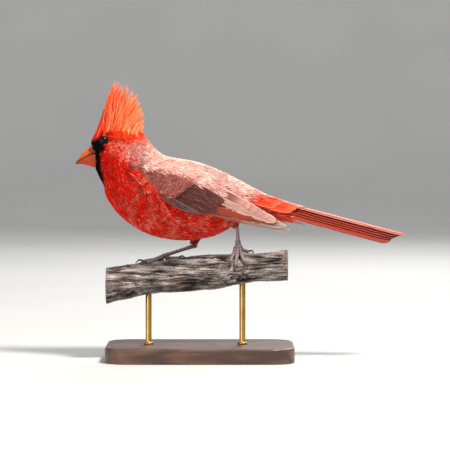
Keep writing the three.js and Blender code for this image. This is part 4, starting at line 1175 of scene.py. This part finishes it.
def bill_half(upper):
    share = np.linspace(0, 1, BILL_ROWS)
    mouth = smooth_line(MOUTH, 300)[::-1]
    turns = np.linspace(0, np.pi, 400)
    rings, tints = [], []
    for along, top, low in zip(share, curve_at(CULMEN, share), curve_at(KEEL, share)):
        middle, rise = (top + low) / 2, (top - low) / 2
        wide = BILL_HALF_WIDTH * max(1 - along**1.25, 0.045)
        xz = middle + rise * np.cos(turns)[:, None]
        above = xz[:, 1] - np.interp(xz[:, 0], mouth[:, 0], mouth[:, 1])
        edge = above > MOUTH_GAP / 2 if upper else above < -MOUTH_GAP / 2
        if edge.sum() < 12:
            continue
        first, last = turns[edge][0], turns[edge][-1]
        ends = (-last, last) if upper else (first, 2 * np.pi - first)
        way = np.linspace(*ends, HORN_POINTS)
        xz = middle + rise * np.cos(way)[:, None]
        ring = np.stack([xz[:, 0], np.sin(way) * wide, xz[:, 1]], axis=1)
        back = np.linspace(ring[-1], ring[0], INNER_POINTS + 2)[1:-1]
        arch = np.sin(np.linspace(0, np.pi, INNER_POINTS + 2))[1:-1]
        back[:, 2] += (0.5 if upper else -0.5) * arch
        rings.append(np.concatenate([ring, back]))
        tint = layered(
            HORN_UPPER if upper else HORN_LOWER,
            # Painted highlight along the upper half's ridge
            (np.abs(np.cos(way)) ** 6 * 0.4 * upper, HORN_RIDGE_HIGHLIGHT),
            # Painted shade along the cutting edge at the mouth line
            ((1 - step(np.abs(ring[:, 2] - ring[0, 2]), 0.1, 1.3)) * 0.6, linear(92, 36, 14)),
            (0.5 * step(along, 0.72, 1.0), linear(120, 60, 34)),
        )
        # The faces towards the gap are painted dark as the shade inside the mouth
        tints.append(np.concatenate([tint, np.broadcast_to(linear(70, 22, 12), back.shape)]))
    return grid_part(np.array(rings), tint=np.array(tints))


def horn_paint(wire):
    grain, wear = wire.noise(120.0, 4.0, stretch=(1.0, 1.0, 3.0)), wire.noise(900.0)
    tone = 1.0 + (grain - 0.5) * 0.5 + (wear - 0.5) * 0.2
    normal = wire.bump(grain + wear * 0.3, 0.25, 0.0003)
    return {"Base Color": wire.toned(tone), "Roughness": 0.34 + wear * 0.2, "Normal": normal}


horn_finish = finish_of("horn", horn_paint, Specular_IOR_Level=0.3)
dark_finish = finish_of("dark_horn", feather_paint(0.5, 0.3), Roughness=0.45)
make_piece("bill_upper_horn", bill_half(True), horn_finish, "bill", "bill_upper")
make_piece("bill_lower_horn", bill_half(False), horn_finish, "bill", "bill_lower")


# %% The mouth's lining, the nostrils and the bristles
def mouth_lining():
    """The inside of the mouth, painted dark as shade, a shrunken copy of the whole bill behind the gap
    between its halves.
    """
    share = np.linspace(0, 0.93, LINING_ROWS)
    top, low = curve_at(CULMEN, share), curve_at(KEEL, share)
    turns = circle(24)
    middle, rise = (top + low) / 2, (top - low) / 2 * 0.8
    xz = middle[:, None] + rise[:, None] * np.cos(turns)[:, None]
    wide = (BILL_HALF_WIDTH * (1 - share**1.25) - 0.4)[:, None] * np.sin(turns)
    return grid_part(np.stack([xz[..., 0], wide, xz[..., 1]], axis=-1), tint=linear(46, 14, 8))


def nostrils_and_bristles():
    parts = []
    for side in (-1, 1):
        turn = np.linspace(0.05, np.pi - 0.05, 14)
        path = np.array([-72.4, side * 4.35, 138.1]) + np.outer(np.cos(turn), [-0.85, 0, 0.45])
        # The nostril is a small bump painted dark as the shade in its opening
        parts.append(tube_part(path, np.sin(turn) * 0.42, 16, linear(26, 12, 8)))
        for _ in range(18):
            along = draw.random()
            start = np.array([-69.4 + draw.normal(0, 0.4), side * (5.5 + 0.8 * along), 140.8 - 5.0 * along])
            reach = draw.uniform(1.6, 3.6)
            end = start + np.array([-0.95, side * draw.uniform(0.0, 0.45), draw.uniform(-0.75, -0.1)]) * reach
            bow = (start + end) / 2 + np.array([0.0, side * 0.35, 0.35])
            radii = [0.13, 0.12, 0.1, 0.08, 0.05, 0.02]
            parts.append(tube_part(smooth_line([start, bow, end], len(radii)), radii, 4, MASK_BLACK))
    return merge_parts(parts)


make_piece("mouth_lining", mouth_lining(), dark_finish, "bill")
make_piece("nostrils_and_bristles", nostrils_and_bristles(), dark_finish, "bill")

# %% [markdown]
# ## The branch
# The perch is a weathered limb, cut square at both ends. Its bark has long cracks that run with the
# grain and part round small plates. The cracks are real here: the surface is measured from the solid and
# then lowered by stretched noise, and the depth colours it.

# %% Branch surface
STATIONS = np.array([(-62, 48.6), (-37, 53.2), (-20, 55.4), (0, 57.4), (22, 59.4), (38, 60.8), (58, 62.2)])
BARK_ROWS, BARK_AROUND, CUT_ROWS, MEASURE_EVERY = 250, 170, 16, 5
KNOTS = [(-46, 62, 3.6), (8, -38, 3.2), (46, 150, 4.0)]
branch_tree = tree_of("branch")


def branch_centre(x):
    return np.interp(x, STATIONS[:, 0], STATIONS[:, 1])


def branch_spot(x, turn, lift=0.0):
    """A point on the branch at x and a turn in degrees from its top, lifted off it."""
    angle = math.radians(turn)
    out = Vector((0, math.sin(angle), math.cos(angle)))
    centre = Vector((x, 0, float(branch_centre(x))))
    hit = branch_tree.ray_cast(centre + out * 30, -out, 30)[0]
    return np.array((hit or centre + out * 11) + out * lift)


def noises(points, stretch, seed):
    flat = points.reshape(-1, 3) * np.array(stretch)
    shift = Vector((seed * 3.7, seed * 9.1, seed * 5.3))
    return np.array([noise.noise(Vector(p) + shift) for p in flat]).reshape(points.shape[:-1])


def measure_branch(xs, turns):
    """Points of the solid branch, found by rays at every fifth place and filled in between."""
    some_x, some_turns = xs[::MEASURE_EVERY], turns[::MEASURE_EVERY]
    found = np.array([[branch_spot(x, turn) for turn in some_turns] for x in some_x])
    closed, closed_turns = np.concatenate([found, found[:, :1]], axis=1), np.append(some_turns, 360)
    full = np.zeros((len(xs), len(turns), 3))
    for k in range(3):
        by_turn = np.array([np.interp(turns, closed_turns, row) for row in closed[..., k]])
        full[..., k] = np.array([np.interp(xs, some_x, col) for col in by_turn.T]).T
    return full


def bark_level(points):
    """How far the bark stands above the solid: cracks, plates, grain and a few knots."""
    twist = points.copy()
    twist[..., 1] += points[..., 0] * 0.12
    sway = [noises(points, (0.05, 0.09, 0.09), seed) for seed in (7, 8)]
    twist[..., 1:] += np.stack(sway, axis=-1) * 1.1
    cracks = 1 - np.abs(noises(twist, (0.02, 0.5, 0.5), 1)) * 4.6
    small = 1 - np.abs(noises(twist, (0.04, 1.2, 1.2), 2)) * 3.4
    plates, grain = noises(twist, (0.12, 0.28, 0.28), 3), noises(twist, (0.08, 2.4, 2.4), 4)
    where = np.clip(0.5 + noises(points, (0.05, 0.1, 0.1), 9) * 1.6, 0.12, 1)
    level = 0.3 + plates * 0.6 + grain * 0.3
    level -= np.clip(cracks, 0, 1) ** 1.5 * 1.2 * where + np.clip(small, 0, 1) ** 2 * 0.5
    for x, turn, size in KNOTS:
        off = np.linalg.norm(points - branch_spot(x, turn), axis=-1)
        level += np.exp(-((off / size) ** 2)) * 0.9 - np.exp(-((off / (size * 0.35)) ** 2)) * 1.6
    return level


def branch_part():
    xs, turns = np.linspace(-61.9, 57.9, BARK_ROWS), np.arange(BARK_AROUND) * 360 / BARK_AROUND
    solid = measure_branch(xs, turns)
    centre = np.stack([xs, 0 * xs, branch_centre(xs)], axis=1)[:, None]
    level = bark_level(solid)
    barked = solid + unit(solid - centre) * level[..., None]
    shrink = (np.linspace(0.02, 1, CUT_ROWS) ** 0.8)[:, None]
    ends = []
    for row, shift in ((0, -0.12), (-1, 0.12)):
        rings = centre[row] + (barked[row] - centre[row]) * shrink[..., None] * 0.985
        rings[..., 0] = centre[row, 0, 0] + shift + noises(rings, (1, 0.6, 0.6), 6) * 0.12
        ends.append(rings)
    flat, ones = np.zeros((CUT_ROWS, BARK_AROUND)), np.ones((CUT_ROWS, BARK_AROUND))
    return grid_part(
        np.concatenate([ends[0], barked, ends[1][::-1]]),
        height=np.concatenate([flat, level, flat]),
        cut=np.concatenate([ones, level * 0, ones]),
        ring=np.concatenate([ones * shrink, level * 0 + 1, ones * shrink[::-1]]),
    )


def bark_paint(wire):
    height, cut, ring = wire.reading("height"), wire.reading("cut"), wire.reading("ring")
    grain = wire.noise(260.0, 5.0, 0.65, stretch=(0.18, 1.0, 1.0))
    blotch, fine = wire.noise(38.0), wire.noise(1300.0)
    level = (height + 1.2) * 0.6 - 0.35 + (grain - 0.5) * 1.8 + (fine - 0.5) * 0.8 + (blotch - 0.5) * 0.5
    stops = [(0.0, opaque(26, 22, 19)), (0.28, opaque(76, 67, 62))]
    stops += [(0.58, opaque(136, 124, 119)), (1.0, opaque(204, 192, 186))]
    bark = wire.node("ShaderNodeValToRGB", {"stops": stops}, {"Fac": level})
    bark = wire.mix(blotch.between(0.56, 0.72) * 0.45, bark, opaque(140, 104, 62))
    bands = (ring * 44.0 + blotch * 4.0).sine()
    wood = wire.mix(bands * 0.5 + 0.5, opaque(150, 122, 92), opaque(196, 168, 132))
    rim = wire.mix(ring.between(0.8, 1.0), (1, 1, 1, 1), opaque(90, 70, 56))
    colour = wire.mix(cut, bark, wire.mix(0.5, wood, rim, "MULTIPLY"))
    normal = wire.bump(grain + fine * 0.4, 0.55, 0.0006)
    return {"Base Color": colour, "Roughness": 0.78 + fine * 0.18, "Normal": normal}


bark_finish = finish_of("weathered_bark", bark_paint, Specular_IOR_Level=0.25)
make_piece("bark", branch_part(), bark_finish, "bark", "branch")

# %% [markdown]
# ## Legs and feet
# A bird's shank is sheathed in horny plates that overlap down its front like roof tiles. The toes have
# smaller plates above and soft pads below, and each ends in a curved claw that grips the bark. The upper
# leg is a short cone of soft feathers.

# %% Legs
LEGS = {
    # ends of the thigh and its radii, the shank from ankle to joint and the way its plates face, and for
    # each toe three places on the branch as x, turn and lift, then the claw's tip
    "left": {
        "thigh": [(17.5, -11, 96.5), (24.2, -8.8, 88.4)], "cuff": (5.6, 2.3),
        "ankle": (24.3, -8.8, 91), "joint": (25.1, -5.6, 78.2), "front": (-0.9, 0, 0.3),
        "toes": [
            [(22.6, -34, 4.2), (20.9, -47, 1.9), (20.2, -62, 1.6), (19.6, -84)],
            [(24.6, -36, 4.4), (23.9, -54, 1.9), (23.2, -76, 1.6), (22.8, -98)],
            [(26.9, -32, 4.2), (28.2, -48, 1.9), (29.9, -66, 1.6), (31, -86)],
            [(27.6, -6, 3.6), (30.2, 6, 2.3), (32.2, 14, 1.6), (36, 26)],
        ],
    },
    "right": {
        "thigh": [(-1.5, 15.5, 86), (-4.6, 14.2, 75.2)], "cuff": (5.4, 2.1),
        "ankle": (-5, 14, 74), "joint": (-24.2, 3, 68.3), "front": (-0.3, 0, 0.9),
        "toes": [
            [(-27.6, 1, 1.7), (-31.6, -12, 1.5), (-35.2, -20, 1.4), (-39.6, -25)],
            [(-28.6, 15, 1.7), (-33.6, 12, 1.5), (-38, 9, 1.4), (-42.8, 7)],
            [(-26.6, 26, 1.7), (-30.4, 38, 1.5), (-34, 48, 1.4), (-37.8, 56)],
            [(-20.6, 20, 1.8), (-17.2, 24, 1.6), (-14, 26, 1.5), (-9.4, 27)],
        ],
    },
}
SHANK_ROWS, TOE_ROWS, CLAW_ROWS, THIGH_ROWS = 80, 60, 30, 40
# The lighter scale colour is painted highlight; the darker is the horn's own dark colour and painted shade
SCALE_HIGHLIGHT, SCALE_DARK, THIGH_RED = linear(144, 124, 124), linear(58, 42, 42), linear(176, 52, 36)


def spread(count, places, values):
    """Numbers for count rows, between the values given at some shares of the way."""
    return np.interp(np.linspace(0, 1, count), places, values)


def scaled_tube(path, radii, plates, up, pads=0, around=22):
    """A tube with overlapping plates on its upper side and soft pads below, with painted highlight and shade.
    """
    along, turns = np.linspace(0, 1, len(path))[:, None], circle(around)[None]
    over = step(np.cos(turns), -0.35, 0.1)
    tile = (along * plates) % 1
    scale = 1 + over * (0.07 * tile - 0.03) + (1 - over) * pads * 0.16 * np.sin(along * pads * 2 * np.pi) ** 2
    scale = scale + (1 - over) * 0.03 * np.sin(turns * 9) * np.sin(along * 90)
    # Painted highlight on each plate's face, painted shade at the overlap and on the underside
    shine = (0.35 + 0.65 * step(tile, 0.05, 0.5)) * (1 - step(tile, 0.9, 1.0) * 0.8)
    light = over * shine + (1 - over) * 0.35
    return tube_part(path, radii[:, None] * scale, around, layered(SCALE_DARK, (light, SCALE_HIGHLIGHT)), up)


def toe_and_claw(joint, toe):
    steps = [joint, *(branch_spot(x, turn, lift - 0.15) for x, turn, lift in toe[:3])]
    path = smooth_line([joint - (steps[1] - joint) * 0.08, *steps], TOE_ROWS)
    radii = spread(TOE_ROWS, [0, 0.1, 0.6, 0.93, 1], [1.3, 1.42, 1.15, 1.02, 0.62])
    end = steps[-1]
    out = unit(end - np.array([end[0], 0, branch_centre(end[0])]))
    (x, turn, _), (claw_x, claw_turn) = toe[2:]
    top = branch_spot((x + claw_x) / 2, (turn + claw_turn) / 2, 2.4)
    claw = smooth_line([path[-4], top, branch_spot(claw_x, claw_turn, 0.5)], CLAW_ROWS)
    thick = np.linspace(1, 0, CLAW_ROWS)
    tint = (SCALE_DARK * (0.35 + 0.4 * thick[:, None]))[:, None]
    claw = tube_part(claw, 0.14 + 0.66 * thick**0.75, 16, tint, out)
    return scaled_tube(path, radii, 15, out, pads=3), claw


def build_thigh(name, ends, cuff):
    top, low = (np.array(end, float) for end in ends)
    cone = smooth_line([top + (top - low) * 0.25, top, (top + low) / 2, low], THIGH_ROWS)
    wide = spread(THIGH_ROWS, [0, 0.3, 0.65, 1], [cuff[0], cuff[0], sum(cuff) / 2, cuff[1]])
    # The thigh's skin is its feathers' red, painted darker as the shade under them
    skin = tube_part(cone, np.maximum(wide - 1.1, 0.9), 40, THIGH_RED * 0.5)
    make_piece(f"thigh_{name}_skin", skin, skin_finish, "plumage_red", f"thigh_{name}")
    sleeve = Surface(tube_points(cone, wide, 60), wraps=True).facing_out()
    roots = scatter(sleeve, lambda place: 1.0, 0.93)
    lengths = draw.uniform(2.4, 3.6, len(roots)) * (1.1 - 0.35 * roots[:, 0])
    tints = layered(THIGH_RED, (step(patches(sleeve.at(roots), 2.0, 8), 0.45, 0.8) * 0.6, MANTLE_PINK))
    tufts = roots, draw.normal(0, 0.15, len(roots)), lengths, np.full(len(roots), 0.9), tints
    make_piece(f"coat_thigh_{name}", fluffy_feathers(sleeve, tufts, blades=5), coat_finish, "plumage_red")


def build_leg(name, leg):
    ankle, joint = np.array(leg["ankle"], float), np.array(leg["joint"], float)
    way = joint - ankle
    line = smooth_line([ankle - way * 0.12, ankle, ankle + way * 0.5, joint], SHANK_ROWS)
    radii = spread(SHANK_ROWS, [0, 0.2, 0.55, 0.85, 1], [1.5, 1.65, 1.12, 1.2, 1.5])
    shank = scaled_tube(line, radii, 13, leg["front"])
    make_piece(f"shank_{name}_scutes", shank, scale_finish, "legs", f"shank_{name}")
    toes, claws = zip(*(toe_and_claw(joint, toe) for toe in leg["toes"]))
    make_piece(f"toes_{name}", merge_parts(toes), scale_finish, "legs", f"foot_{name}")
    make_piece(f"claws_{name}", merge_parts(claws), claw_finish, "legs")
    build_thigh(name, leg["thigh"], leg["cuff"])


scale_finish = finish_of("leg_scales", horn_paint, Specular_IOR_Level=0.5)
claw_finish = finish_of("claw_horn", horn_paint, Specular_IOR_Level=0.6, Coat_Weight=0.3, Coat_Roughness=0.2)
for name, leg in LEGS.items():
    build_leg(name, leg)

# %% [markdown]
# ## The stand
# The base is a small block of dark oiled wood with softly rounded edges. Two brass rods stand in it and
# carry the branch, each with a low collar where it enters the wood.

# %% Stand
BASE_HEIGHT, TOP_ROUNDING, FOOT_ROUNDING, OUTLINE_COUNT = 10.0, 1.6, 0.6, 360
ROD_RADIUS, COLLAR_RADIUS, SUNK = 2.0, 3.2, 0.25


def base_part():
    tree, outline = tree_of("stand_base"), []
    for turn in circle(OUTLINE_COUNT):
        out = Vector((math.cos(turn), math.sin(turn), 0))
        outline.append(tree.ray_cast(out * 200 + Vector((0, 0, BASE_HEIGHT / 2)), -out, 200)[0][:2])
    outline = np.array(outline)
    for _ in range(4):
        outline = (np.roll(outline, 1, axis=0) + 2 * outline + np.roll(outline, -1, axis=0)) / 4
    size = np.linalg.norm(outline, axis=1, keepdims=True)
    turns = np.linspace(0, np.pi / 2, 9)
    # Each row: its share of the way out from the middle, how far it is set in, and its height
    rows = [(share, 0, 0.0) for share in (0.02, 0.5, 0.99)]
    rounding = [(1 - math.sin(a), 1 - math.cos(a)) for a in turns]
    rows += [(1, FOOT_ROUNDING * inset, FOOT_ROUNDING * rise) for inset, rise in rounding]
    rows += [(1, TOP_ROUNDING * inset, BASE_HEIGHT - TOP_ROUNDING * fall) for inset, fall in rounding[::-1]]
    rows += [(share, TOP_ROUNDING, BASE_HEIGHT) for share in (0.999, 0.9, 0.6, 0.3, 0.02)]
    flat = [outline * (1 - inset / size) * share for share, inset, _ in rows]
    return grid_part(np.array([np.c_[ring, np.full(OUTLINE_COUNT, row[2])] for ring, row in zip(flat, rows)]))


def rod_part(name):
    low, high = (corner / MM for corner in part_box(name))
    (x, y, bottom), top = low, high[2]
    x, y = (x + high[0]) / 2, (y + high[1]) / 2
    profile = [(0.05, bottom - SUNK), (COLLAR_RADIUS - 0.1, bottom - SUNK), (COLLAR_RADIUS, bottom - 0.1)]
    for a in np.linspace(0, np.pi / 2, 7):
        profile.append((COLLAR_RADIUS - 0.6 + 0.6 * math.cos(a), bottom + 0.5 + 0.6 * math.sin(a)))
    profile += [(ROD_RADIUS + 0.05, bottom + 1.15), (ROD_RADIUS, bottom + 1.5)]
    profile += [(ROD_RADIUS, top - 0.2), (ROD_RADIUS - 0.1, top), (0.05, top)]
    path = np.array([(x, y, z) for _, z in profile])
    path[:, 2] += np.arange(len(path)) * 1e-5
    return grid_part(tube_points(path, [radius for radius, _ in profile], 64, up=(1.0, 0, 0)))


def wood_paint(wire):
    bands = (wire.noise(16.0, 4.0, 0.5, stretch=(0.22, 1.4, 1.4)) * 60.0).sine()
    pores = wire.noise(700.0, 2.0, 0.6, stretch=(0.06, 1.0, 1.0))
    level = 0.5 + bands * 0.22 + (pores - 0.5) * 0.7
    stops = [(0.0, opaque(38, 22, 15)), (0.5, opaque(72, 44, 30)), (1.0, opaque(110, 72, 48))]
    colour = wire.node("ShaderNodeValToRGB", {"stops": stops}, {"Fac": level})
    return {"Base Color": colour, "Roughness": 0.36 + pores * 0.22, "Normal": wire.bump(pores, 0.15, 0.0003)}


def brass_paint(wire):
    lines, stain = wire.noise(900.0, 2.0, 0.5, stretch=(1.0, 1.0, 0.04)), wire.noise(90.0)
    colour = wire.mix(stain.between(0.3, 0.75), opaque(196, 156, 84), opaque(168, 128, 66))
    return {"Base Color": colour, "Roughness": 0.2 + lines * 0.14 + stain * 0.1}


wood_finish = finish_of("oiled_wood", wood_paint, Coat_Weight=0.25, Coat_Roughness=0.25)
brass_finish = finish_of("brushed_brass", brass_paint, Metallic=1.0)
make_piece("base_wood", base_part(), wood_finish, "stand_wood", "stand_base")
for name in ("stand_rod_front", "stand_rod_rear"):
    make_piece(name + "_brass", rod_part(name), brass_finish, "stand_metal", name)

# %% [markdown]
# ## Camera, light and floor
# The bird is seen from its left side, level, through a long lens, which keeps its proportions flat as in
# a field guide. A soft light stands high behind its back, where the sun was, a wide one fills the breast,
# and a weaker one lights the far edge. The floor sweeps up behind so that no horizon cuts the picture.

# %% Camera
MIDDLE = Vector((16.5, 0.0, 88.85)) * MM
VIEW_WIDTH, DISTANCE, LOOK_DOWN = 0.297, 1.7, math.radians(2.5)
camera_data = bpy.data.cameras.new("camera")
camera_data.sensor_width = 36.0
camera_data.lens = camera_data.sensor_width * DISTANCE / VIEW_WIDTH
camera_data.clip_end = 30.0
camera = bpy.data.objects.new("camera", camera_data)
bpy.context.scene.collection.objects.link(camera)
back = Vector((0, -math.cos(LOOK_DOWN), math.sin(LOOK_DOWN)))
camera.location = MIDDLE + back * DISTANCE
camera.rotation_mode = "QUATERNION"
camera.rotation_quaternion = (-back).to_track_quat("-Z", "Y")
bpy.context.scene.camera = camera
print("lens", round(camera_data.lens), "mm")


# %% Lights and floor
def soft_light(name, place, size, power, colour=(1, 1, 1)):
    data = bpy.data.lights.new(name, "AREA")
    data.shape, data.size, data.energy, data.color = "DISK", size, power, colour
    lamp = bpy.data.objects.new(name, data)
    lamp.location = place
    lamp.rotation_mode = "QUATERNION"
    lamp.rotation_quaternion = (MIDDLE - Vector(place)).to_track_quat("-Z", "Y")
    bpy.context.scene.collection.objects.link(lamp)


soft_light("sun", (0.5, -0.55, 1.2), 0.3, 26.0, (1.0, 0.97, 0.92))
soft_light("front_fill", (-1.3, -1.8, 0.6), 1.8, 22.0)
soft_light("back_rim", (0.35, 1.1, 0.9), 0.6, 10.0)


def floor_paint(wire):
    speck = wire.noise(3.0, 2.0).between(0.2, 0.8)
    return {"Base Color": wire.mix(speck, opaque(196, 196, 193), opaque(203, 202, 199))}


def sweep():
    """A floor 10 m wide, flat under the bird and curving up far behind it; y and z in metres."""
    bend = smooth_line([(2.0, 0.0), (2.6, 0.08), (3.05, 0.35), (3.3, 0.8), (3.4, 1.4), (3.4, 4.0)], 24)
    profile = [(-3.0, 0.0), *bend.tolist()]
    points = [(x, y, z) for x in (-5.0, 5.0) for y, z in profile]
    count = len(profile)
    faces = [(k, k + 1, k + 1 + count, k + count) for k in range(count - 1)]
    mesh = bpy.data.meshes.new("floor")
    mesh.from_pydata(points, [], faces)
    mesh.polygons.foreach_set("use_smooth", np.ones(len(faces), bool))
    mesh.materials.append(finish_of("pale_floor", floor_paint, Roughness=0.9, Specular_IOR_Level=0.1))
    made = bpy.data.objects.new("floor", mesh)
    bpy.context.scene.collection.objects.link(made)


sweep()
world = bpy.data.worlds.new("studio")
world.use_nodes = True
world.node_tree.nodes["Background"].inputs["Color"].default_value = (0.93, 0.95, 1.0, 1)
world.node_tree.nodes["Background"].inputs["Strength"].default_value = 0.55
bpy.context.scene.world = world
bpy.context.scene.view_settings.view_transform = "Standard"
